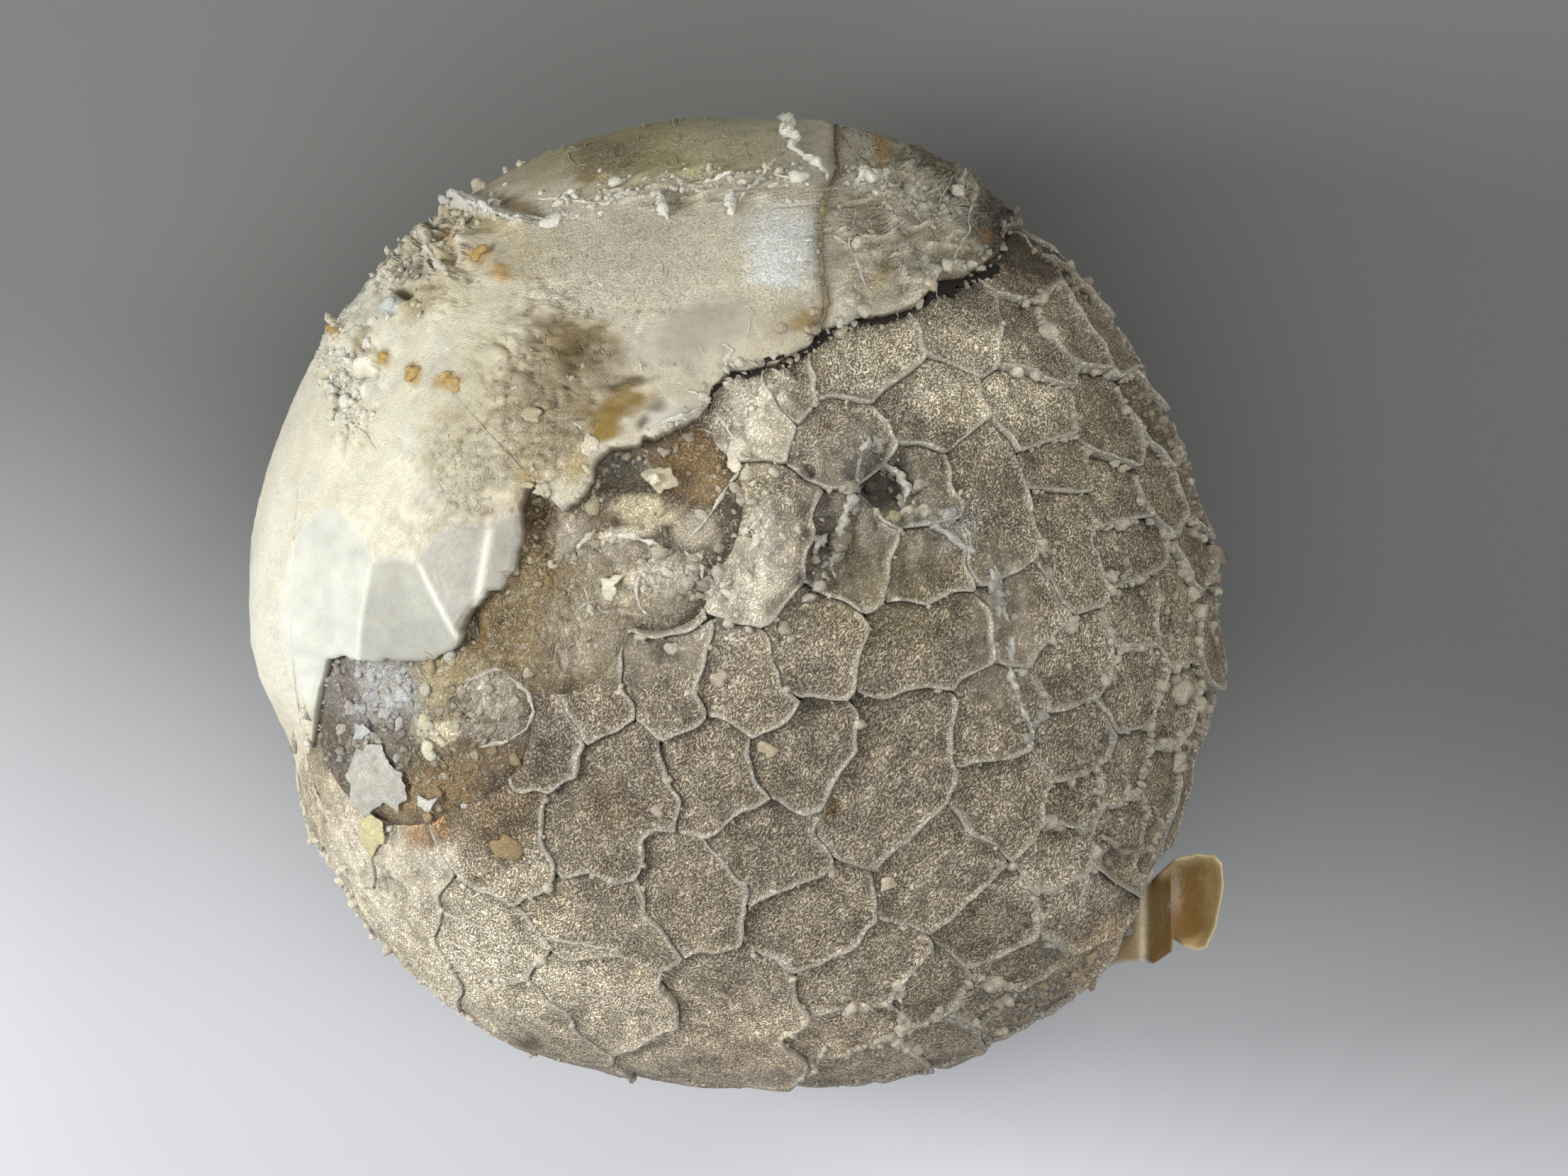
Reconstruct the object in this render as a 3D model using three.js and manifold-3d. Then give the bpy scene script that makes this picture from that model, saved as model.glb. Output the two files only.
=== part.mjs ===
// Fossil sea urchin: the flint mould of a globular urchin, one natural stone about 36 mm across.
// Millimetres, +Z up. The origin is the middle of the small flat spot that the stone rests on.
// The stone is a rounded dome on a rounded belly. Its skin is divided into test plates that lie
// like low shingles; a shell of paler flint about 0.9 mm thick still covers the upper left of
// the dome and ends in a ragged ledge, and a broken flange of the shell stands out at the waist.
import * as THREE from "three";
import { mergeVertices } from "three/addons/utils/BufferGeometryUtils.js";
import Module from "manifold-3d";

const wasm = await Module();
wasm.setup();

// ---------------------------------------------------------------- driving dimensions
const WAIST_HEIGHT = 13;        // height of the widest section above the resting spot
const DOME_RISE = 15.3;         // from the waist to the top of the dome
const BELLY_DROP = 13.6;        // how deep the belly would go if it were not worn flat
// Waist radius every 15 degrees, counter-clockwise from +X.
const WAIST_RADII = [
  17.5, 17.4, 17.3, 17.5, 17.2, 17.5, 17.2, 17.1, 17.2, 17.3, 17.4, 17.3,
  17.1, 17.3, 18.0, 18.3, 18.5, 18.0, 18.0, 18.3, 18.6, 19.1, 18.2, 17.8,
];
const SHELL = 0.85;             // thickness of the pale shell that ends in the ledge
const SWELL = 0.12;             // broad unevenness of the whole stone
const SWELL_TURNS = [0.5, 0.45, 0.3];   // turn of its waves, in radians for each mm of x, y and z
const RESTING_FADE = 1.5;       // all relief fades out over this height above the resting spot

const PLATE_TILT = 0.12;        // each plate rises by this slope towards the lower right
const PLATE_LIP = 0.14;         // its raised lower right edge, and its sunken upper left one
const PLATE_EDGE = 1.2;         // width over which the lip rises
const SHINGLE_WAY = new THREE.Vector3(0.6, -0.8, 0);
// Waves that bend the borders between plates: the axis moved, how far, and the turn of the wave
// in radians for each millimetre of x, y and z.
const BORDER_WAVES = [
  [0, 0.20, 0, 1.9, 0.7], [0, 0.08, -2.1, 4.3, 0], [1, 0.20, 1.7, 0, 1.1],
  [1, 0.08, 3.9, 0, 2.3], [2, 0.15, 1.5, -1.3, 0],
];

const BALL_DETAIL = 8;          // the ball that the skin starts from: 20 (detail + 1)^2 facets
const SPLIT_ROUNDS = 4;         // then long edges are halved, up to this many times
const FACET_SMOOTH = 2.4;       // longest edge on the smooth shell
const FACET_LEDGE = 0.62;       // along the ledge, the vein and the chip's outline
const FACET_DOME = 0.62;        // along the sutures of the dome
const FACET_BELLY = 1.25;       // along the sutures of the belly
const FACET_GROWTH = 1.6;       // extra length for each millimetre away from them
const SUTURE_PULL = 0.33;       // facet corners this near a suture are moved close to it
const SUTURE_GAP = 0.05;        // and stay this far on their own plate's side
const LEDGE_PULL = 0.36;        // and this near the ledge, to its top or its foot
const LEDGE_TOP = 0.05;         // the two rows of corners that make the ledge's wall
const LEDGE_FOOT = 0.15;
const SUTURE_FLOOR = 0.5;       // below this height no corner is moved to a suture
const VEIN_PULL = 0.34;         // facet corners this near the vein are moved onto it
const UNFOLD_PASSES = 3;        // how often facets that the moves turned over are put back
const SMALLEST_TURN = 1e-6;     // a facet thinner than this counts as turned over

// Plates on the dome: the middle of each as x, y seen from above, and a second one if it is long.
const DOME_PLATES = [
  [-2.8, -2.7], [-5.5, -3.0], [-7.6, -5.0], [0.3, -3.0], [-1.0, -6.3], [2.3, -5.6], [2.8, -1.6],
  [-4.0, -6.7, -5.6, -8.7], [-5.0, -11.6], [-5.0, -14.5], [-1.7, -10.5], [1.2, -9.2],
  [2.7, -11.6], [0.0, -14.5, -0.3, -17.0], [4.5, -13.8], [7.3, -9.9], [5.0, -7.6, 6.4, -4.8],
  [9.5, -4.3], [10.0, -7.2], [12.6, -7.1], [11.9, -9.2], [12.2, -11.2], [13.4, -13.8],
  [9.5, -12.0], [10.2, -13.5], [10.6, -14.5], [7.0, -14.5], [8.8, -14.7], [4.6, -15.6],
  [5.0, -16.7], [7.4, -15.8], [-8.6, -8.6], [-9.5, -12.6], [-8.4, -14.9], [-12.4, -10.4],
  [-12.2, -12.6], [-14.6, -8.2], [0.5, 1.4, 1.1, 3.1], [0.5, 7.3], [4.2, 1.8], [7.0, 1.4],
  [6.2, -1.6, 7.6, -1.5], [9.3, 4.5, 9.6, 2.4], [10.6, 0.0], [12.0, 3.4, 12.2, 1.4],
  [12.4, -2.2], [14.1, 1.6], [12.5, -5.2], [14.5, -3.3], [14.2, -6.3], [14.5, -0.4],
  [16.0, -0.8], [17.2, -0.3], [15.9, -4.2], [14.0, -8.0], [15.7, -6.4], [16.7, -5.6],
  [3.6, 8.5, 4.8, 9.2], [8.6, 10.4], [10.7, 9.8], [12.1, 10.5], [13.5, 10.2], [7.2, 7.3],
  [11.1, 6.8], [11.8, 5.1], [6.8, 4.2], [3.6, 6.3], [2.2, 8.2], [13.6, 6.8], [13.7, 3.9],
  [15.4, 6.5], [15.4, 4.9], [16.5, 4.2], [16.8, 1.8], [15.1, 8.6], [12.4, 12.4], [10.3, 12.4],
  [-3.4, 0.4], [-6.4, 0.6], [-2.6, 4.4], [-10.2, -4.4], [-13.6, -4.6],
];
// Rings of plates round the belly: height on the unit ball, and how many plates.
const BELLY_RINGS = [[-0.14, 30], [-0.36, 28], [-0.57, 25], [-0.75, 20], [-0.89, 14]];

// Edge of the shell, seen from above and unrolled past the waist (see unroll below).
const LEDGE = [
  [-15.6, -5.5], [-15.2, -3.2], [-15.0, -2.0], [-13.0, -2.1], [-11.0, -2.0], [-10.1, -1.5],
  [-9.5, -0.3], [-8.5, 0.5], [-7.9, 1.8], [-7.9, 3.5], [-7.3, 4.3], [-6.3, 3.2], [-5.5, 4.0],
  [-5.1, 5.2], [-3.6, 5.7], [-2.0, 6.4], [-1.1, 7.4], [-0.3, 8.5], [1.5, 8.8], [2.7, 9.8],
  [4.4, 10.4], [6.4, 10.8], [7.2, 11.7], [8.4, 12.0], [9.4, 12.7], [10.0, 14.2], [11.8, 16.8],
  [12.6, 20.2], [5.0, 23.4], [-4.0, 23.0], [-12.0, 21.0], [-19.0, 15.0], [-23.0, 9.0],
  [-23.4, 1.0], [-22.6, -6.0], [-20.0, -8.6], [-17.6, -6.6],
];
// Fresh chip in the shell, and how deep it cuts at its left and right ends.
const CHIP = [
  [-16.6, -1.9], [-16.2, 1.3], [-15.2, 2.4], [-14.4, 2.9], [-11.8, 2.8], [-10.8, 1.4],
  [-9.3, -0.3], [-10.5, -1.9], [-15.0, -2.0],
];
const CHIP_DEPTH = [0.2, 0.75];
const CHIP_ENDS_X = [-16.6, -9.3];
const CHIP_RIDGE = 0.18;        // crest between its two facets
const CHIP_RIDGE_X = -13.5;

// Part of the skin where the plates are worn smooth: x, y and radii of each oval.
const SMOOTH_OVALS = [
  [-6.8, 1.0, 3.4, 5.0], [-12.6, -4.6, 3.6, 4.2], [-2.6, 4.0, 3.2, 3.4], [-10.0, -4.6, 2.8, 3.4],
];
const OVAL_FADE = [0.8, 1.1];   // shares of an oval's radius over which the plates come back
// Bowls sunk in the skin: x, y, the two radii and the depth.
const BOWLS = [
  [-1.7, 5.2, 2.1, 2.3, 0.5],     // smooth scar in the broken window
  [-4.3, 4.8, 1.5, 1.1, 0.55],    // its darker hollow, under the ledge
  [-13.2, -3.7, 2.2, 1.8, 0.4],   // bubbly recess below the chip
  [-7.2, 2.9, 1.0, 1.8, 0.35],    // notch below the ledge
  [5.4, 4.9, 1.2, 1.4, 0.65],     // crater
  [3.6, 2.3, 1.1, 1.6, 0.35],
  [11.0, 12.8, 0.9, 1.3, 0.9],    // dark hole where three plates part
  [14.2, -9.8, 1.2, 0.8, 0.7],    // hollow behind the flange
];
const BOWL_FADE = [0.35, 1.1];  // shares of a bowl's radius over which its wall rises
// Small lumps (and, below zero, pits): x, y and height.
const LUMPS = [
  [17.5, -4.1, 0.45], [16.3, -3.3, 0.4], [3.8, 18.0, 0.3], [17.4, -0.3, 0.3], [16.6, -0.4, 0.3],
  [12.1, -0.8, 0.25], [11.1, 2.0, 0.2], [6.3, -15.5, 0.35], [9.5, -15.0, 0.35],
  [5.5, -10.4, 0.25], [-0.7, -2.8, 0.2], [-2.5, -1.6, 0.2], [5.8, -14.4, 0.3],
  [2.9, -16.8, 0.3], [-8.7, -9.0, 0.2], [-10.9, 12.6, 0.25], [-14.1, 7.5, 0.2],
  [-9.8, 14.1, 0.3], [1.6, 17.2, 0.3], [-3.0, 4.8, 0.3], [-3.4, 0.8, 0.25], [-14.0, -4.7, 0.2],
  [2.6, 4.8, -0.4], [3.5, -7.7, -0.35], [-10.3, -7.6, -0.25], [-11.8, 11.0, -0.3],
  [-10.5, -4.9, -0.25], [0.6, 7.5, -0.25],
];
// Narrow groove of a vein across the shell.
const VEIN = [[3.6, 17.6], [3.5, 15.0], [3.0, 13.6], [2.9, 12.0], [3.1, 10.5]];
const VEIN_DEPTH = 0.25;
const VEIN_HALF_WIDTH = 0.1;

// Broken flange of the shell at the waist, seen from above.
const FLANGE_OUTLINE = [
  [13.2, -9.6], [15.2, -10.3], [16.2, -9.55], [17.6, -9.3], [18.0, -10.3], [17.7, -12.0],
  [17.1, -12.9], [15.9, -12.3], [15.9, -12.9], [15.3, -13.4], [13.4, -13.5], [12.4, -11.6],
];
const FLANGE_THICKNESS = 1.2;   // at the crease, where its rim starts to curl up
const FLANGE_HEIGHT = 12.8;     // of its underside at the crease
const FLANGE_CREASE_X = 16;
const FLANGE_CURL = 0.35;       // rise for each millimetre past the crease
const FLANGE_ROOT = 1.1;        // the underside falls by this for each millimetre before it

const STONE_COLOUR = 0x8f8776;

// ---------------------------------------------------------------- the smooth stone
/** A weight that goes smoothly from 0 at `from` to 1 at `to`. */
function ease(from, to, value) {
  const t = Math.min(1, Math.max(0, (value - from) / (to - from)));
  return t * t * (3 - 2 * t);
}

/** Radius of the waist in a direction, eased between the values of WAIST_RADII. */
function waistRadius(azimuth) {
  const count = WAIST_RADII.length;
  const turn = (azimuth / (2 * Math.PI) + 1) * count;
  const step = Math.floor(turn);
  const part = (1 - Math.cos(Math.PI * (turn - step))) / 2;
  return WAIST_RADII[step % count] * (1 - part) + WAIST_RADII[(step + 1) % count] * part;
}

/** The point of the smooth stone that lies in direction `ball` of the unit ball. */
function smoothPoint(ball) {
  const radius = waistRadius(Math.atan2(ball.y, ball.x));
  const rise = ball.z > 0 ? DOME_RISE : BELLY_DROP;
  const z = Math.max(0, WAIST_HEIGHT + rise * ball.z);
  return new THREE.Vector3(radius * ball.x, radius * ball.y, z);
}

/** The direction on the unit ball of a point near the smooth stone. */
function ballOf(point) {
  const radius = waistRadius(Math.atan2(point.y, point.x));
  const above = point.z - WAIST_HEIGHT;
  const rise = above > 0 ? DOME_RISE : BELLY_DROP;
  return new THREE.Vector3(point.x / radius, point.y / radius, above / rise).normalize();
}

/** Outward normal of the smooth stone. */
function smoothNormal(ball) {
  const radius = waistRadius(Math.atan2(ball.y, ball.x));
  const rise = ball.z > 0 ? DOME_RISE : BELLY_DROP;
  return new THREE.Vector3(ball.x / radius, ball.y / radius, ball.z / rise).normalize();
}

/** Flattens the skin: the dome as seen from above, and the belly folded out round it. */
function unroll(ball) {
  const radius = waistRadius(Math.atan2(ball.y, ball.x));
  const level = Math.max(1e-6, Math.hypot(ball.x, ball.y));
  const reach = ball.z > 0 ? level : 2 - level;
  return new THREE.Vector2(ball.x, ball.y).multiplyScalar(radius * reach / level);
}

/** The direction on the unit ball of a place on the flattened skin. */
function rollUp(place) {
  const reach = place.length() / waistRadius(Math.atan2(place.y, place.x));
  const level = reach < 1 ? reach : Math.max(0, 2 - reach);
  const up = Math.sqrt(Math.max(0, 1 - level * level)) * (reach < 1 ? 1 : -1);
  const flat = place.clone().normalize().multiplyScalar(level);
  return new THREE.Vector3(flat.x, flat.y, up);
}

// ---------------------------------------------------------------- outlines on the skin
/** Nearest place on a line of points, and its distance. */
function nearestOnLine(line, place, closed) {
  const best = { distance: Infinity };
  const last = closed ? line.length : line.length - 1;
  for (let i = 0; i < last; i++) {
    const start = new THREE.Vector2(...line[i]);
    const along = new THREE.Vector2(...line[(i + 1) % line.length]).sub(start);
    const offset = place.clone().sub(start);
    const part = Math.min(1, Math.max(0, offset.dot(along) / along.lengthSq()));
    const foot = start.clone().addScaledVector(along, part);
    const distance = foot.distanceTo(place);
    if (distance < best.distance) Object.assign(best, { distance, foot });
  }
  return best;
}

/** Whether a place lies inside a closed outline. */
function isInside(outline, place) {
  let inside = false;
  for (let i = 0, j = outline.length - 1; i < outline.length; j = i++) {
    const [xi, yi] = outline[i];
    const [xj, yj] = outline[j];
    const crosses = (yi > place.y) !== (yj > place.y);
    if (crosses && place.x < (xj - xi) * (place.y - yi) / (yj - yi) + xi) inside = !inside;
  }
  return inside;
}

// ---------------------------------------------------------------- plates
/** All plates: each has the middles that it grows from, as points of the smooth stone. */
function allPlates() {
  const plates = DOME_PLATES.map((row) => {
    const middles = [];
    for (let i = 0; i < row.length; i += 2) {
      middles.push(smoothPoint(rollUp(new THREE.Vector2(row[i], row[i + 1]))));
    }
    return middles;
  });
  BELLY_RINGS.forEach(([height, count], ring) => {
    const level = Math.sqrt(1 - height * height);
    for (let i = 0; i < count; i++) {
      const azimuth = 2 * Math.PI * (i + 0.5 * (ring % 2)) / count;
      const ball = new THREE.Vector3(level * Math.cos(azimuth), level * Math.sin(azimuth), height);
      plates.push([smoothPoint(ball)]);
    }
  });
  return plates;
}
const MIDDLES = allPlates().flatMap((middles, plate) => middles.map((point) => ({ plate, point })));

/** Bends the straight borders between plates a little. */
function wander(point) {
  const bent = point.clone();
  BORDER_WAVES.forEach(([axis, height, ...turns]) => {
    const wave = height * Math.sin(point.dot(new THREE.Vector3(...turns)));
    bent.setComponent(axis, bent.getComponent(axis) + wave);
  });
  return bent;
}

/** The middle nearest to a point, and the way and distance to the next plate's border. */
function plateAt(point) {
  const bent = wander(point);
  const gaps = MIDDLES.map((middle) => middle.point.distanceToSquared(bent));
  const nearest = gaps.indexOf(Math.min(...gaps));
  const own = MIDDLES[nearest];
  const best = { own, way: new THREE.Vector3(), edge: Infinity };
  MIDDLES.forEach((middle, other) => {
    if (middle.plate === own.plate) return;
    const apart = middle.point.distanceTo(own.point);
    const edge = (gaps[other] - gaps[nearest]) / (2 * apart);
    if (edge > best.edge) return;
    best.edge = edge;
    best.way.copy(middle.point).sub(own.point).divideScalar(apart);
  });
  return best;
}

/** Relief of the plated skin: tilted tiles, each with a lip on its lower right side. */
function plateRelief(point, normal) {
  const { own, edge, way } = plateAt(point);
  const slope = SHINGLE_WAY.clone().projectOnPlane(normal);
  const tilt = PLATE_TILT * slope.dot(point.clone().sub(own.point));
  const facing = slope.dot(way);
  return tilt + PLATE_LIP * facing * (1 - ease(0.2, PLATE_EDGE, edge));
}

// ---------------------------------------------------------------- relief of the whole skin
/** How far the shell stands over the plated skin, less what the chip has taken. */
function shellRelief(place) {
  if (!isInside(CHIP, place)) return SHELL;
  const [left, right] = CHIP_ENDS_X;
  const along = (place.x - left) / (right - left);
  const depth = CHIP_DEPTH[0] + (CHIP_DEPTH[1] - CHIP_DEPTH[0]) * along;
  return SHELL - depth + CHIP_RIDGE * Math.max(0, 1 - Math.abs(place.x - CHIP_RIDGE_X));
}

/** Share of full relief that the plates keep at a place, 0 inside the smooth ovals. */
function plateShare(place) {
  return SMOOTH_OVALS.reduce((share, [x, y, rx, ry]) => {
    const reach = Math.hypot((place.x - x) / rx, (place.y - y) / ry);
    return share * ease(...OVAL_FADE, reach);
  }, 1);
}

/** Depth of the bowls at a place. */
function bowlDepth(place) {
  return BOWLS.reduce((depth, [x, y, rx, ry, deep]) => {
    const reach = Math.hypot((place.x - x) / rx, (place.y - y) / ry);
    return depth + deep * (1 - ease(...BOWL_FADE, reach));
  }, 0);
}

/** Height of the real skin over the smooth stone. */
function relief(ball) {
  const point = smoothPoint(ball);
  const place = unroll(ball);
  const [turnX, turnY, turnZ] = SWELL_TURNS;
  const swell = SWELL * (Math.sin(turnX * point.x + turnZ * point.z) + Math.cos(turnY * point.y));
  const shelled = isInside(LEDGE, place);
  const skin = shelled
    ? shellRelief(place)
    : plateRelief(point, smoothNormal(ball)) * plateShare(place) - bowlDepth(place);
  const inVein = shelled && nearestOnLine(VEIN, place, false).distance < VEIN_HALF_WIDTH;
  const restingSpot = ease(0, RESTING_FADE, point.z);
  return (swell + skin - (inVein ? VEIN_DEPTH : 0)) * restingSpot;
}

// ---------------------------------------------------------------- the faceted skin
/** Longest edge that the skin allows in a direction of the ball. */
function facetSize(ball) {
  const place = unroll(ball);
  const toLedge = nearestOnLine(LEDGE, place, true).distance;
  let size = FACET_LEDGE + FACET_GROWTH * toLedge;
  if (isInside(LEDGE, place)) {
    const toVein = nearestOnLine(VEIN, place, false).distance;
    const toChip = nearestOnLine(CHIP, place, true).distance;
    size = Math.min(size, FACET_LEDGE + FACET_GROWTH * Math.min(toVein, toChip));
    return Math.min(size, FACET_SMOOTH);
  }
  const alongSuture = ball.z > 0 ? FACET_DOME : FACET_BELLY;
  const { edge } = plateAt(smoothPoint(ball));
  return Math.min(size, alongSuture + FACET_GROWTH * edge, FACET_SMOOTH);
}

/** The facets that a facet becomes when some of its edges have a middle corner. */
function splitFacet([a, b, c], ab, bc, ca) {
  const count = [ab, bc, ca].filter((middle) => middle !== null).length;
  if (count === 0) return [[a, b, c]];
  if (count === 3) return [[a, ab, ca], [b, bc, ab], [c, ca, bc], [ab, bc, ca]];
  const startsHere = count === 1 ? ab !== null : ca === null;
  if (!startsHere) return splitFacet([b, c, a], bc, ca, ab);
  if (count === 1) return [[a, ab, c], [ab, b, c]];
  return [[ab, b, bc], [a, ab, bc], [a, bc, c]];
}

/** Halves every edge that is longer than the skin allows there, round by round. */
function splitLongEdges(balls, facets) {
  for (let round = 0; round < SPLIT_ROUNDS; round++) {
    const middles = new Map();
    const middleOf = (a, b) => {
      const key = `${Math.min(a, b)} ${Math.max(a, b)}`;
      if (!middles.has(key)) {
        const middle = balls[a].clone().add(balls[b]).normalize();
        const long = smoothPoint(balls[a]).distanceTo(smoothPoint(balls[b])) > facetSize(middle);
        middles.set(key, long ? balls.push(middle) - 1 : null);
      }
      return middles.get(key);
    };
    facets = facets.flatMap(([a, b, c]) =>
      splitFacet([a, b, c], middleOf(a, b), middleOf(b, c), middleOf(c, a)));
  }
  return facets;
}

/** Moves a facet corner close to the ledge, a vein or a suture that runs by. */
function pulled(ball) {
  const place = unroll(ball);
  const ledge = nearestOnLine(LEDGE, place, true);
  const shelled = isInside(LEDGE, place);
  if (ledge.distance < LEDGE_PULL) {
    const outwards = place.clone().sub(ledge.foot).normalize();
    return rollUp(ledge.foot.addScaledVector(outwards, shelled ? LEDGE_TOP : LEDGE_FOOT));
  }
  if (shelled) {
    const vein = nearestOnLine(VEIN, place, false);
    return vein.distance < VEIN_PULL ? rollUp(vein.foot) : ball;
  }
  const point = smoothPoint(ball);
  const { edge, way } = plateAt(point);
  const worn = plateShare(place) < 0.5;
  if (edge > SUTURE_PULL || point.z < SUTURE_FLOOR || worn) return ball;
  return ballOf(point.addScaledVector(way, edge - SUTURE_GAP));
}

/** Puts back the corners of any facet that the moves have turned over. */
function unfold(facets, before, after) {
  facets.forEach(([a, b, c]) => {
    const turn = after[a].clone().cross(after[b]).dot(after[c]);
    if (turn > SMALLEST_TURN) return;
    [a, b, c].forEach((corner) => after[corner].copy(before[corner]));
  });
}

/** The unit ball as facets, split where the skin has detail and pulled onto its edges. */
function facetedBall() {
  const ball = new THREE.IcosahedronGeometry(1, BALL_DETAIL);
  ball.deleteAttribute("normal");
  ball.deleteAttribute("uv");
  const merged = mergeVertices(ball, 1e-4);
  const place = merged.getAttribute("position");
  const index = merged.getIndex().array;
  const before = [];
  for (let i = 0; i < place.count; i++) {
    before.push(new THREE.Vector3().fromBufferAttribute(place, i).normalize());
  }
  const whole = [];
  for (let i = 0; i < index.length; i += 3) whole.push([index[i], index[i + 1], index[i + 2]]);
  const facets = splitLongEdges(before, whole);
  const after = before.map(pulled);
  for (let pass = 0; pass < UNFOLD_PASSES; pass++) unfold(facets, before, after);
  return { facets, balls: after };
}

/** Adds the small lumps and pits, each on the facet corner nearest to it. */
function raiseLumps(balls, heights) {
  LUMPS.forEach(([x, y, height]) => {
    const middle = rollUp(new THREE.Vector2(x, y));
    const gaps = balls.map((ball) => ball.distanceToSquared(middle));
    heights[gaps.indexOf(Math.min(...gaps))] += height;
  });
}

/** The skin of the stone as a solid. */
function skinSolid() {
  const { facets, balls } = facetedBall();
  const heights = balls.map(relief);
  raiseLumps(balls, heights);
  const corners = balls.flatMap((ball, i) => {
    const point = smoothPoint(ball).addScaledVector(smoothNormal(ball), heights[i]);
    return [point.x, point.y, Math.max(0, point.z)];
  });
  return solidOf(corners, facets.flat());
}

// ---------------------------------------------------------------- flange and finished part
/** A closed mesh as a solid that can be joined. */
function solidOf(corners, index) {
  const mesh = new wasm.Mesh({
    numProp: 3,
    vertProperties: Float32Array.from(corners),
    triVerts: Uint32Array.from(index),
  });
  return new wasm.Manifold(mesh);
}

/** The flange: thick at its root in the stone, thin at the rim, which curls up. */
function flangeSolid() {
  const outline = new THREE.Shape(FLANGE_OUTLINE.map(([x, y]) => new THREE.Vector2(x, y)));
  const plate = new THREE.ExtrudeGeometry(outline, {
    depth: FLANGE_THICKNESS, steps: 1, bevelEnabled: false,
  });
  plate.deleteAttribute("normal");
  plate.deleteAttribute("uv");
  const merged = mergeVertices(plate, 1e-4);
  const place = merged.getAttribute("position");
  for (let i = 0; i < place.count; i++) {
    const past = place.getX(i) - FLANGE_CREASE_X;
    const underside = place.getZ(i) === 0;
    const bend = past > 0 ? FLANGE_CURL * past : underside ? FLANGE_ROOT * past : 0;
    place.setZ(i, place.getZ(i) + FLANGE_HEIGHT + bend);
  }
  return solidOf(place.array, merged.getIndex().array);
}

/** A solid as a mesh of the object. */
function meshOf(solid, name, colour) {
  const { vertProperties, triVerts } = solid.getMesh();
  const geometry = new THREE.BufferGeometry();
  geometry.setAttribute("position", new THREE.BufferAttribute(vertProperties, 3));
  geometry.setIndex(new THREE.BufferAttribute(triVerts, 1));
  const flint = new THREE.MeshStandardMaterial({ color: colour, roughness: 0.6, metalness: 0 });
  const mesh = new THREE.Mesh(geometry, flint);
  mesh.name = name;
  return mesh;
}

const fossil = new THREE.Group();
fossil.add(meshOf(skinSolid().add(flangeSolid()), "fossil_sea_urchin", STONE_COLOUR));

export default fossil;
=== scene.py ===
"""Looks of the fossil sea urchin: a globular flint mould with shingled plates under a pale shell.

Lengths are in millimetres until a mesh is made, +Z is up, and the stone rests at z = 0.
A direction of the unit ball names a spot on the skin, and the smooth stone is a dome on a belly
round a waist. Every piece is a set of ringed bodies: a top pole, rings of points and a bottom
pole, all sewn into closed surfaces. The last number given to a noise is its seed.
"""
import functools
import bpy
import numpy as np
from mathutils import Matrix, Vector


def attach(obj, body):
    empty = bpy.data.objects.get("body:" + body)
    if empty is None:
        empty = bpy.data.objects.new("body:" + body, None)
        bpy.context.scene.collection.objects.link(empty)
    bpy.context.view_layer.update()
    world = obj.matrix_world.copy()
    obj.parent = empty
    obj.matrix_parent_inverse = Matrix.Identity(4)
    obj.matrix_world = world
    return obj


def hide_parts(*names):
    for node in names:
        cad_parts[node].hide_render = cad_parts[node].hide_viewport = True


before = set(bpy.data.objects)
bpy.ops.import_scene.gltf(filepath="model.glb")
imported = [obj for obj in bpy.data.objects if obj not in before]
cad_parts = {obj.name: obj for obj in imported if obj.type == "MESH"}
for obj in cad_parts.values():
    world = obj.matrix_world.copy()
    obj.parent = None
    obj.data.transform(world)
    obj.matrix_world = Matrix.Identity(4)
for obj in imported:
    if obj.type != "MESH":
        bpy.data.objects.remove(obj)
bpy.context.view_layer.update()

MM = 0.001
NODE = "fossil_sea_urchin"

# ------------------------------------------------------------------ measures of the stone
WAIST_HEIGHT = 13.0
DOME_RISE = 15.3
BELLY_DROP = 13.6
WAIST_RADII = np.array([     # every 15 degrees, counter-clockwise from +X
    17.5, 17.4, 17.3, 17.5, 17.2, 17.5, 17.2, 17.1, 17.2, 17.3, 17.4, 17.3,
    17.1, 17.3, 18.0, 18.3, 18.5, 18.0, 18.0, 18.3, 18.6, 19.1, 18.2, 17.8])
SWELL = 0.12                 # broad unevenness of the whole stone
CRUST_FLUSH = 0.25           # the level of the crust's relief that lies flush with the skin

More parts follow.
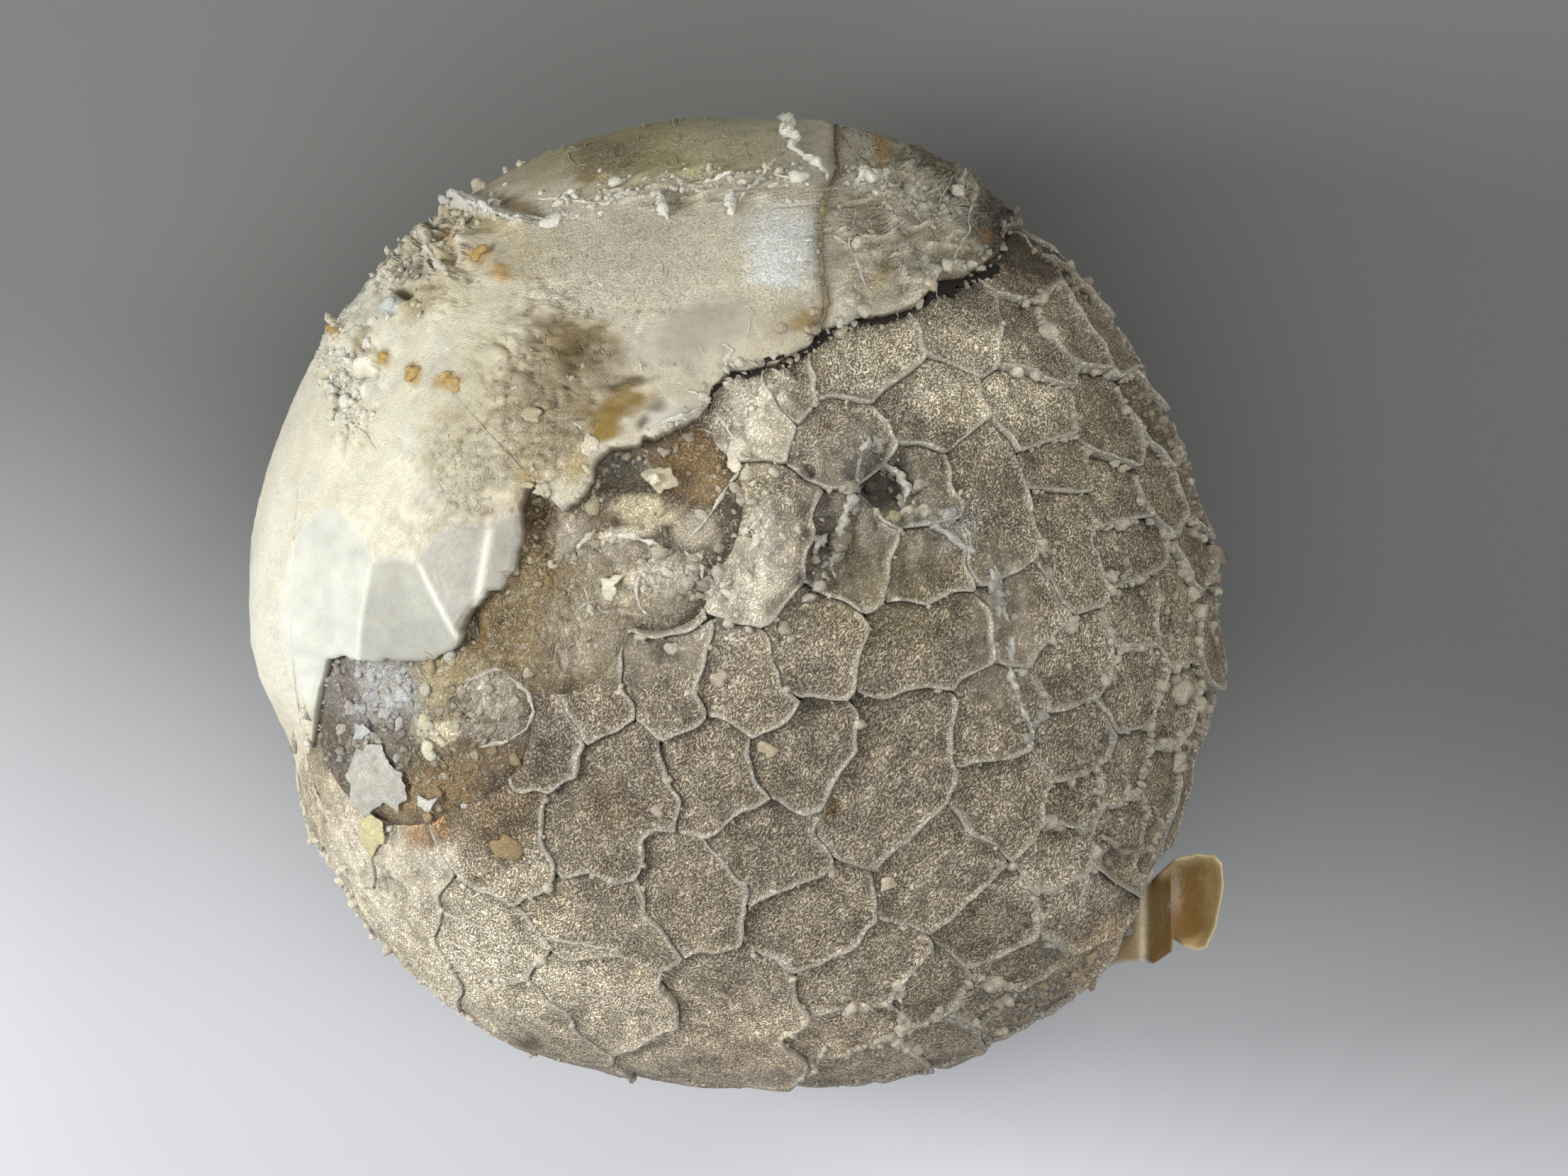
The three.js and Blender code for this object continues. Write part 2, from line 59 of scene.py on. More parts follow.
# Plates on the dome: the middle of each as x, y seen from above, and a second one if it is long.
DOME_PLATES = [
    [-2.8, -2.7], [-5.5, -3.0], [-7.6, -5.0], [0.3, -3.0], [-1.0, -6.3], [2.3, -5.6],
    [2.8, -1.6], [-4.0, -6.7, -5.6, -8.7], [-5.0, -11.6], [-5.0, -14.5], [-1.7, -10.5],
    [1.2, -9.2], [2.7, -11.6], [0.0, -14.5, -0.3, -17.0], [4.5, -13.8], [7.3, -9.9],
    [5.0, -7.6, 6.4, -4.8], [9.5, -4.3], [10.0, -7.2], [12.6, -7.1], [11.9, -9.2],
    [12.2, -11.2], [13.4, -13.8], [9.5, -12.0], [10.2, -13.5], [10.6, -14.5], [7.0, -14.5],
    [8.8, -14.7], [4.6, -15.6], [5.0, -16.7], [7.4, -15.8], [-8.6, -8.6], [-9.5, -12.6],
    [-8.4, -14.9], [-12.4, -10.4], [-12.2, -12.6], [-14.6, -8.2], [0.5, 1.4, 1.1, 3.1],
    [0.5, 7.3], [4.2, 1.8], [7.0, 1.4], [6.2, -1.6, 7.6, -1.5], [9.3, 4.5, 9.6, 2.4],
    [10.6, 0.0], [12.0, 3.4, 12.2, 1.4], [12.4, -2.2], [14.1, 1.6], [12.5, -5.2],
    [14.5, -3.3], [14.2, -6.3], [14.5, -0.4], [16.0, -0.8], [17.2, -0.3], [15.9, -4.2],
    [14.0, -8.0], [15.7, -6.4], [16.7, -5.6], [3.6, 8.5, 4.8, 9.2], [8.6, 10.4],
    [10.7, 9.8], [12.1, 10.5], [13.5, 10.2], [7.2, 7.3], [11.1, 6.8], [11.8, 5.1],
    [6.8, 4.2], [3.6, 6.3], [2.2, 8.2], [13.6, 6.8], [13.7, 3.9], [15.4, 6.5], [15.4, 4.9],
    [16.5, 4.2], [16.8, 1.8], [15.1, 8.6], [12.4, 12.4], [10.3, 12.4], [-3.4, 0.4],
    [-6.4, 0.6], [-2.6, 4.4], [-10.2, -4.4], [-13.6, -4.6]]
BELLY_RINGS = [(-0.14, 30), (-0.36, 28), (-0.57, 25), (-0.75, 20), (-0.89, 14)]
# Waves that bend the borders between plates: the axis moved, how far, and the turn of the wave
# in radians for each millimetre of x, y and z.
BORDER_WAVES = [
    (0, 0.20, (0, 1.9, 0.7)), (0, 0.08, (-2.1, 4.3, 0)), (1, 0.20, (1.7, 0, 1.1)),
    (1, 0.08, (3.9, 0, 2.3)), (2, 0.15, (1.5, -1.3, 0))]
SHINGLE_WAY = np.array([0.6, -0.8, 0.0])   # plates rise towards the lower right
PLATE_TILT = 0.05
PLATE_GAP = 0.003            # half the crack between two plates
PLATE_DEPTH = 0.75           # how deep a plate's wall goes
LIP_HEIGHT = 0.15
LIP_WIDTH = 0.10
BED_DEPTH = 0.42             # level of the stone under its plates
CRACK_DEPTH = 0.5            # of the crack between the plates and the ledge
WORN_DEPTH = 0.55            # how deep plates are sunk where they are worn away
COVERED_PLATE = 2.6          # a plate whose middles lie that far inside the ledge is left out
PLATE_GRIDS = {"plates_dome": (15, 70), "plates_belly": (9, 44)}    # rings, and points on each
SOFT_OVAL = (-11.5, -13.5, 8.0, 6.5, -45)   # where a cream crust softens the plates

# Where the plates are worn away or overgrown: x, y, the two radii of each oval.
SMOOTH_OVALS = [
    (-6.8, 1.0, 3.2, 4.6), (-12.6, -4.6, 3.4, 3.9), (-2.9, 3.6, 3.1, 3.6),
    (-10.4, -4.4, 2.7, 3.2), (-3.0, 0.6, 2.0, 1.7)]
# Bowls sunk in the skin: x, y, the two radii and the depth.
BOWLS = [
    (-1.7, 5.3, 1.9, 2.2, 0.5), (-4.3, 4.9, 1.2, 0.9, 0.5), (-13.2, -3.6, 2.2, 1.7, 0.4),
    (-7.2, 2.9, 0.9, 1.6, 0.35), (5.3, 4.7, 1.2, 1.4, 0.85), (3.9, 2.0, 1.2, 1.6, 0.45),
    (11.0, 12.8, 0.6, 0.8, 0.2), (14.2, -9.7, 0.9, 0.7, 0.7), (2.6, 4.8, 0.4, 0.35, 0.35),
    (3.5, -7.7, 0.3, 0.3, 0.2), (-10.3, -7.6, 0.22, 0.22, 0.2), (-9.6, -10.3, 0.4, 0.3, 0.2),
    (-3.4, 1.9, 1.3, 0.5, 0.2), (9.8, 0.2, 0.5, 1.3, 0.25)]

# Edge of the pale shell, seen from above; past the waist it goes on over the folded-out belly.
LEDGE = np.array([
    (-16.05, -5.7), (-15.85, -4.8), (-15.5, -3.2), (-15.1, -2.05), (-14.5, -1.9),
    (-13.0, -2.15), (-11.0, -2.05), (-10.1, -1.5), (-9.5, -0.3), (-9.05, 0.1), (-8.95, 0.4),
    (-8.5, 0.5), (-8.0, 1.5), (-7.85, 2.5), (-7.85, 3.5), (-7.3, 4.3), (-7.0, 4.05),
    (-6.3, 3.25), (-5.8, 3.5), (-5.4, 4.0), (-5.1, 5.2), (-4.6, 5.6), (-3.6, 5.6),
    (-3.4, 6.0), (-2.8, 5.9), (-2.0, 6.4), (-1.1, 7.2), (-1.1, 7.8), (-0.3, 8.5), (0.3, 8.5),
    (1.5, 8.8), (2.5, 9.4), (3.0, 10.0), (4.0, 10.15), (4.5, 10.5), (5.5, 10.6),
    (6.5, 10.9), (7.2, 11.8), (8.3, 12.0), (9.4, 12.7), (10.0, 14.2), (11.4, 16.6),
    (12.2, 20.0), (9.0, 22.2), (5.0, 22.8), (-4.0, 22.4), (-12.0, 20.6), (-16.5, 17.3),
    (-19.0, 14.6), (-21.6, 10.5), (-22.8, 6.0), (-23.0, 1.0), (-22.2, -5.5), (-20.2, -8.2),
    (-17.6, -8.6), (-16.5, -8.3), (-16.2, -7.2)])
SHELL_MIDDLE = np.array([-15.2, 13.0])
MOULD_MIDDLE = np.array([-6.4, -0.6])   # of the part that lies bare
SEEN_LEDGE = 42              # how many points of the ledge show; the rest go round the belly
CRACKED_LEDGE = LEDGE[26:SEEN_LEDGE]    # where a dark crack lies under it
THINNED_LEDGE = LEDGE[26:36]            # where the shell thins out towards it
SHELL = 0.85                 # thickness of the shell left of the vein
THIN_SHELL = 0.6             # and right of it
SHELL_FOOT = 0.30            # how far its wall goes below the smooth stone
SHELL_BACK = -0.5            # level of its hidden back
CHIP_EDGE = 0.05             # depth at which a cut of the chip is wholly fresh
VEIN = np.array([
    (3.6, 18.4), (3.5, 17.2), (3.45, 16.0), (3.5, 15.3), (3.2, 14.6), (2.9, 13.8), (2.85, 12.5),
    (2.95, 11.5), (3.15, 10.7), (2.9, 9.8)])

# Broken flange at the waist, seen from above.
FLANGE = np.array([
    (14.2, -10.6), (15.2, -10.4), (15.7, -9.9), (16.2, -9.5), (17.0, -9.3), (17.6, -9.35),
    (17.9, -9.7), (18.0, -10.3), (17.9, -11.0), (17.7, -12.0), (17.35, -12.8), (17.0, -12.9),
    (16.5, -12.75), (16.1, -12.45), (16.05, -12.95), (15.4, -13.4), (14.9, -13.3), (14.0, -13.45),
    (13.2, -13.75), (12.6, -14.1), (12.2, -13.6), (13.6, -11.6)])
FLANGE_RIM = FLANGE[2:13]
FLANGE_MIDDLE = np.array([16.1, -11.2])
FLANGE_HEIGHT = 13.6
FLANGE_CREASE_X = 16.0
FLANGE_ROOT_X = 14.95


# ------------------------------------------------------------------ plain sums
def ease(start, end, value):
    """A weight from 0 at `start` to 1 at `end`, along the curve 3t^2 - 2t^3."""
    t = np.clip((value - start) / (end - start), 0, 1)
    return t * t * (3 - 2 * t)


def bump(value, width):
    """A bell of height 1 at 0: e to the minus square of value over width."""
    return np.exp(-(value / width) ** 2)


CELLS = 32                   # the noise repeats after so many cells


@functools.cache
def lattice(seed):
    """Random values from -1 to 1 on a cubic lattice."""
    return np.random.default_rng(seed).uniform(-1, 1, (CELLS, CELLS, CELLS))


def noise(points, size, seed):
    """Smooth noise from -1 to 1: random values on a cubic lattice of that size, eased between."""
    cell = points / size
    low = np.floor(cell).astype(int)
    x, y, z = np.moveaxis(ease(0, 1, cell - low), -1, 0)
    i, j, k = np.moveaxis(low, -1, 0)
    total = 0
    for right, share_x in ((0, 1 - x), (1, x)):
        for back, share_y in ((0, 1 - y), (1, y)):
            for over, share_z in ((0, 1 - z), (1, z)):
                value = lattice(seed)[(i + right) % CELLS, (j + back) % CELLS, (k + over) % CELLS]
                total = total + share_x * share_y * share_z * value
    return total


def rough(points, size, seed):
    """Three layers of noise, each half as large and half as strong as the last."""
    return sum(0.5 ** k * noise(points, size * 0.5 ** k, seed + k) for k in range(3)) / 1.75


def crust_relief(points):
    """Rounded crests between sharp valleys, 0 to about 0.8: the sizes of two noises added."""
    return 0.65 * np.abs(noise(points, 0.95, 57)) + 0.45 * np.abs(noise(points, 0.42, 59))


def unit(vectors):
    """Vectors brought to length 1."""
    return vectors / np.maximum(np.linalg.norm(vectors, axis=-1, keepdims=True), 1e-12)


def linear(code):
    """A colour written as six hex digits, in the linear values that materials use."""
    srgb = np.array([int(code[i:i + 2], 16) for i in (0, 2, 4)]) / 255
    return np.where(srgb < 0.04045, srgb / 12.92, ((srgb + 0.055) / 1.055) ** 2.4)


# ------------------------------------------------------------------ the smooth stone
def waist_radius(azimuth):
    """Radius of the waist: WAIST_RADII with a half cosine between one value and the next."""
    count = len(WAIST_RADII)
    turn = (azimuth / (2 * np.pi) + 1) * count
    step = np.floor(turn).astype(int)
    part = (1 - np.cos(np.pi * (turn - step))) / 2
    return WAIST_RADII[step % count] * (1 - part) + WAIST_RADII[(step + 1) % count] * part


def stretches(ball):
    """The three half axes of the smooth stone in each direction of the unit ball."""
    radius = waist_radius(np.arctan2(ball[..., 1], ball[..., 0]))
    rise = np.where(ball[..., 2] > 0, DOME_RISE, BELLY_DROP)
    return np.stack([radius, radius, rise], -1)


def smooth_point(ball):
    """The smooth stone: each direction times its half axes, raised to the waist, flat below."""
    point = ball * stretches(ball)
    point[..., 2] = np.maximum(0, point[..., 2] + WAIST_HEIGHT)
    return point


def smooth_normal(ball):
    """Outward normal of the smooth stone: each direction divided by its half axes."""
    return unit(ball / stretches(ball))


def ball_of(point):
    """The direction of the unit ball whose spot on the smooth stone lies nearest a point."""
    radius = waist_radius(np.arctan2(point[..., 1], point[..., 0]))
    above = point[..., 2] - WAIST_HEIGHT
    rise = np.where(above > 0, DOME_RISE, BELLY_DROP)
    return unit(np.stack([point[..., 0] / radius, point[..., 1] / radius, above / rise], -1))


def unroll(ball):
    """Flattens the skin: the dome as seen from above, and the belly folded out round it."""
    level = np.maximum(1e-6, np.hypot(ball[..., 0], ball[..., 1]))
    reach = np.where(ball[..., 2] > 0, level, 2 - level)
    radius = waist_radius(np.arctan2(ball[..., 1], ball[..., 0]))
    return ball[..., :2] * (radius * reach / level)[..., None]


def roll_up(place):
    """The direction of the unit ball of each place on the flattened skin."""
    azimuth = np.arctan2(place[..., 1], place[..., 0])
    reach = np.hypot(place[..., 0], place[..., 1]) / waist_radius(azimuth)
    level = np.clip(np.where(reach < 1, reach, 2 - reach), 0, 1)
    up = np.sqrt(1 - level ** 2) * np.where(reach < 1, 1, -1)
    return np.stack([level * np.cos(azimuth), level * np.sin(azimuth), up], -1)


def lifted(ball, height):
    """Points of the real skin: the smooth stone plus the swell and a height along its normal.

    Both fade out in the lowest 1.5 mm, so that the spot it rests on stays flat.
    """
    point = smooth_point(ball)
    swell = np.sin(0.5 * point[..., 0] + 0.3 * point[..., 2]) + np.cos(0.45 * point[..., 1])
    resting = ease(0, 1.5, point[..., 2])
    out = point + smooth_normal(ball) * ((SWELL * swell + height) * resting)[..., None]
    out[..., 2] = np.maximum(0, out[..., 2])
    return out


# ------------------------------------------------------------------ outlines on the skin
def to_line(place, line, closed=False):
    """Distance from each place to the nearest stretch of a line of points."""
    ends = np.roll(line, -1, axis=0) if closed else line[1:]
    starts = line if closed else line[:-1]
    best = np.full(place.shape[:-1], np.inf)
    for start, end in zip(starts, ends):
        along = end - start
        offset = place - start
        part = np.clip(offset @ along / (along @ along), 0, 1)
        best = np.minimum(best, np.linalg.norm(offset - part[..., None] * along, axis=-1))
    return best


def inside(place, outline):
    """Whether each place lies inside a closed outline, by counting the sides to its right."""
    within = np.zeros(place.shape[:-1], bool)
    for (x0, y0), (x1, y1) in zip(outline, np.roll(outline, -1, axis=0)):
        if y0 == y1:
            continue
        crossing = (x1 - x0) * (place[..., 1] - y0) / (y1 - y0) + x0
        within ^= ((y0 > place[..., 1]) != (y1 > place[..., 1])) & (place[..., 0] < crossing)
    return within


def oval_reach(place, x, y, rx, ry, turn=0.0):
    """Distance from an oval's middle as a share of its radius that way, the oval turned left."""
    dx, dy = place[..., 0] - x, place[..., 1] - y
    cos, sin = np.cos(np.radians(turn)), np.sin(np.radians(turn))
    return np.hypot((dx * cos + dy * sin) / rx, (dy * cos - dx * sin) / ry)


def on_plane(place):
    """Places as points with z = 0, for the noise."""
    return np.concatenate([place, 0 * place[..., :1]], axis=-1)


def along_line(line, spacing):
    """Places at even distances along a line of points, its two ends included."""
    lengths = np.linalg.norm(np.diff(line, axis=0), axis=1)
    run = np.concatenate([[0], np.cumsum(lengths)])
    at = np.linspace(0, run[-1], max(2, int(round(run[-1] / spacing)) + 1))
    return np.stack([np.interp(at, run, line[:, axis]) for axis in range(line.shape[1])], -1)


# ------------------------------------------------------------------ meshes
def ring_faces(bodies, rows, columns):
    """Triangles of ringed bodies, each with a top pole, rows x columns points and a bottom pole.

    Every cell between two rings is two triangles, and a fan closes the body at each pole.
    """
    i = np.arange(columns)
    j = (i + 1) % columns
    ring = 1 + columns * np.arange(rows)[:, None]
    a, b, c, d = ring[:-1] + i, ring[:-1] + j, ring[1:] + i, ring[1:] + j
    cells = np.stack([a, c, d, a, d, b], -1).reshape(-1, 3)
    top = np.stack([0 * i, 1 + i, 1 + j], -1)
    pole = 1 + rows * columns
    bottom = np.stack([0 * i + pole, ring[-1] + j, ring[-1] + i], -1)
    one = np.concatenate([cells, top, bottom])
    return (one + (pole + 1) * np.arange(bodies)[:, None, None]).reshape(-1, 3)


def sewn(tops, rings, bottoms):
    """Values at the top poles, rings and bottom poles of ringed bodies, in vertex order."""
    flat = rings.reshape(len(rings), -1, rings.shape[-1])
    whole = np.concatenate([tops[:, None], flat, bottoms[:, None]], axis=1)
    return whole.reshape(-1, rings.shape[-1])


def make_piece(name, points, faces, material, **layers):
    """A smooth mesh from points in millimetres and triangles, with its attribute layers."""
    mesh = bpy.data.meshes.new(name)
    mesh.vertices.add(len(points))
    mesh.vertices.foreach_set("co", (points * MM).astype(np.float32).ravel())
    mesh.loops.add(faces.size)
    mesh.loops.foreach_set("vertex_index", faces.astype(np.int32).ravel())
    mesh.polygons.add(len(faces))
    mesh.polygons.foreach_set("loop_start", np.arange(0, faces.size, 3, dtype=np.int32))
    mesh.update(calc_edges=True)
    mesh.shade_smooth()
    for layer, values in layers.items():
        coloured = values.ndim == 2
        kind = "FLOAT_COLOR" if coloured else "FLOAT"
        attribute = mesh.attributes.new(layer, kind, "POINT")
        if coloured:
            values = np.concatenate([values, np.ones((len(values), 1))], axis=1)
        attribute.data.foreach_set("color" if coloured else "value",
                                   values.astype(np.float32).ravel())
    mesh.materials.append(material)
    piece = bpy.data.objects.new(name, mesh)
    bpy.context.scene.collection.objects.link(piece)
    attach(piece, "root")
    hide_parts(NODE)


def bodies_piece(name, parts, material):
    """A piece of several sets of bodies, each given as (points, faces, tint)."""
    points, faces, tints = zip(*parts)
    starts = np.cumsum([0] + [len(body) for body in points[:-1]])
    make_piece(name, np.concatenate(points),
               np.concatenate([body + start for body, start in zip(faces, starts)]), material,
               tint=np.concatenate(tints))


def tangents(normal):
    """Two unit vectors across each normal, so that first x second = normal."""
    first = unit(np.cross(np.array([0.31, 0.95, 0.05]), normal))
    return first, np.cross(normal, first)


# ------------------------------------------------------------------ colours
WARM_SHIFT = np.array([0.05, 0.0, -0.10])    # how warmer spots change their red, green and blue


def lay(colour, share, over):
    """Lays one colour over another in place, by a share from 0 to 1."""
    colour += share[..., None] * (over - colour)


def painted(place, start, stains):
    """Colour over the flattened skin: each stain is an oval with a soft ragged edge.

    A stain is x, y, its two radii, its turn in degrees, a colour and how strongly it covers.
    Over them all, the light and the warmth of the colour vary by noise of several sizes.
    """
    at = smooth_point(roll_up(place))
    shift = 0.5 * np.stack([rough(at, 1.9, 71), rough(at, 1.9, 75)], -1)
    shift += 0.14 * np.stack([noise(at, 0.33, 79), noise(at, 0.33, 82)], -1)
    mottle = 0.20 * noise(at, 0.25, 85) + 0.12 * rough(at, 0.7, 87)
    colour = np.broadcast_to(linear(start), place.shape[:-1] + (3,)).copy()
    for x, y, rx, ry, turn, code, cover in stains:
        moved = place + min(1, rx, ry) * shift
        reach = oval_reach(moved, x, y, rx, ry, turn) + mottle
        lay(colour, cover * (1 - ease(0.4, 1.2, reach)), linear(code))
    light = 1 + 0.17 * rough(at, 2.4, 91) + 0.11 * rough(at, 0.6, 94)
    warmth = (0.5 * rough(at, 1.3, 97) + 0.5 * rough(at, 0.5, 99))[..., None]
    return colour * light[..., None] * (1 + WARM_SHIFT * warmth)


PLATE_COLOUR = "968c7b"
PLATE_STAINS = [
    (3.0, -4.4, 3.2, 2.6, 0, "857c6d", 0.9), (5.6, 0.4, 3.4, 2.6, 0, "80775f", 0.85),
    (5.0, 3.8, 2.0, 1.6, 0, "7d776b", 0.9), (3.8, 2.4, 1.6, 2.2, -15, "726b5f", 0.9),
    (8.5, 8.6, 5.0, 2.6, -25, "d0c7b0", 0.9), (4.6, 9.2, 2.0, 1.4, 0, "c3bba5", 0.8),
    (8.6, 10.9, 2.6, 1.0, -10, "958d79", 0.6), (12.9, 3.0, 2.4, 3.6, 0, "aea48f", 0.85),
    (12.8, 6.6, 1.4, 2.2, -20, "847a66", 0.6), (15.6, 6.4, 1.2, 2.4, -15, "766c58", 0.7),
    (12.6, -1.2, 2.6, 2.2, 0, "b1a793", 0.85), (15.6, -0.6, 1.4, 2.4, 0, "a59b86", 0.7),
    (15.4, -6.4, 1.3, 2.0, 0, "7d7360", 0.8), (11.6, -10.6, 2.6, 1.6, 30, "c4b9a7", 0.8),
    (6.6, -13.6, 5.0, 1.6, 0, "b3a792", 0.7), (2.0, -16.4, 9.0, 1.9, 0, "bfb09a", 0.9),
    (-4.6, -15.0, 3.4, 2.4, 0, "cbbfa9", 0.85), (-2.4, -12.6, 2.8, 1.6, 0, "a59b88", 0.6),
    (-9.5, -12.5, 4.4, 3.8, -40, "d8cfb9", 1.0), (-13.6, -10.0, 4.2, 3.0, -55, "dad1bb", 1.0),
    (-7.6, -11.0, 1.8, 1.4, 0, "9a8d76", 0.6), (-8.9, -8.0, 2.0, 1.8, 0, "74654e", 0.9),
    (-11.6, -8.5, 1.3, 0.8, 0, "a07238", 0.65), (-9.6, -6.4, 1.3, 0.7, 0, "8a6836", 0.7),
    (-6.8, -6.0, 1.7, 1.6, 0, "776d5f", 0.7), (-7.6, -3.4, 1.2, 1.6, 0, "82766a", 0.7),
    (0.3, 1.8, 2.0, 3.2, -15, "c9c2b0", 1.0), (-1.6, 0.0, 1.6, 1.6, 0, "beb6a5", 0.85),
    (0.6, 6.6, 2.1, 2.4, 0, "e0d9c4", 1.0), (0.4, 4.4, 1.2, 1.2, 0, "bbb198", 0.8),
    (5.3, 4.6, 1.2, 1.4, 0, "4d4a43", 1.0), (3.2, 2.2, 0.5, 0.7, 0, "453d33", 0.9),
    (4.3, 1.8, 0.6, 1.0, 0, "57503f", 0.9), (2.5, 0.8, 0.5, 0.4, 0, "3b2d22", 0.95),
    (2.5, 4.75, 0.38, 0.36, 0, "43352a", 1.0), (7.2, 3.2, 1.2, 0.6, 0, "8f8c83", 0.7),
    # The stain at (9.4, 13.9) is painted shadow of the gap between the shell's crust and the
    # plates.
    (3.5, -7.7, 0.45, 0.35, 0, "94744c", 0.7), (9.4, 13.9, 1.3, 1.8, 30, "2c2112", 1.0),
    # The stain at (15.6, 4.0) darkens the right limb: painted shade on the side turned from the
    # light.
    (15.6, 4.0, 2.4, 6.0, 0, "7f7564", 0.5), (4.3, 5.6, 0.8, 1.4, 0, "7a776e", 0.6),
    (-4.6, -7.6, 1.2, 1.0, 0, "857058", 0.5), (10.9, 12.9, 1.7, 1.2, -40, "4e4434", 0.9),
    (8.0, 11.7, 1.3, 0.45, 12, "2c2721", 0.8), (13.0, -12.8, 2.4, 0.9, 40, "c2ad90", 0.7),
    (8.2, 2.6, 0.6, 1.3, -40, "b4b3b0", 0.5), (-7.7, -16.2, 0.5, 0.35, 0, "5d4a33", 0.8),
    (-9.6, -10.3, 0.42, 0.32, 0, "6b5437", 0.9), (-16.6, -7.5, 1.2, 2.6, 15, "c9bfa4", 0.8),
    (-12.5, -4.6, 2.6, 2.6, 0, "a9a397", 0.8)]

MOULD_COLOUR = "4f4436"
MOULD_STAINS = [
    (-7.6, 0.2, 4.0, 5.2, 10, "76674c", 1.0), (-8.6, -0.9, 1.9, 1.6, 0, "65522b", 0.9),
    (-5.4, -0.5, 1.7, 2.6, 0, "928874", 0.85), (-7.5, 3.3, 0.8, 1.5, 0, "5e4926", 0.9),
    (-7.0, 1.0, 1.3, 1.2, 0, "6f5c3a", 0.7), (-11.0, -7.0, 1.8, 1.2, 0, "7c6440", 0.85),
    (-9.6, -5.8, 2.2, 0.8, 0, "6d5b40", 0.8), (-10.2, -2.4, 1.2, 0.7, 0, "8f7f58", 0.8),
    (-13.4, -3.2, 2.2, 1.6, 0, "a9a7a1", 1.0), (-11.4, -3.0, 0.9, 1.2, 0, "b3a57e", 0.8),
    (-11.2, -4.8, 1.1, 0.8, 0, "cfc5a6", 0.85), (-14.7, -3.2, 0.45, 1.5, 0, "6d6459", 0.9),
    (-13.7, -5.9, 1.2, 1.3, 0, "a59c88", 0.9), (-12.4, -7.4, 1.4, 1.0, 0, "8b7450", 0.8),
    (-9.1, -3.9, 1.5, 1.4, 0, "8b8373", 1.0), (-9.2, -3.0, 1.0, 0.4, 0, "b0a898", 0.5),
    (-1.5, 5.6, 1.9, 2.0, 0, "6f5833", 1.0), (-1.2, 4.4, 1.2, 0.8, 0, "84704f", 0.8),
    (-4.2, 4.9, 1.3, 0.8, 0, "6b6557", 1.0), (-3.5, 3.3, 1.4, 0.6, 0, "c7ba99", 1.0),
    (-4.0, 1.9, 1.4, 0.6, 0, "938a7a", 0.9), (-3.2, 0.5, 1.6, 1.3, 0, "b3a993", 0.7),
    (-4.2, 2.5, 1.3, 0.25, 8, "d8cfb8", 0.9), (-6.2, 2.3, 0.9, 1.0, 0, "a79f90", 0.8),
    (-3.0, 1.0, 1.6, 0.8, 0, "c5bca8", 0.8), (-1.7, 2.7, 0.9, 0.9, 0, "bfb6a2", 0.8)]

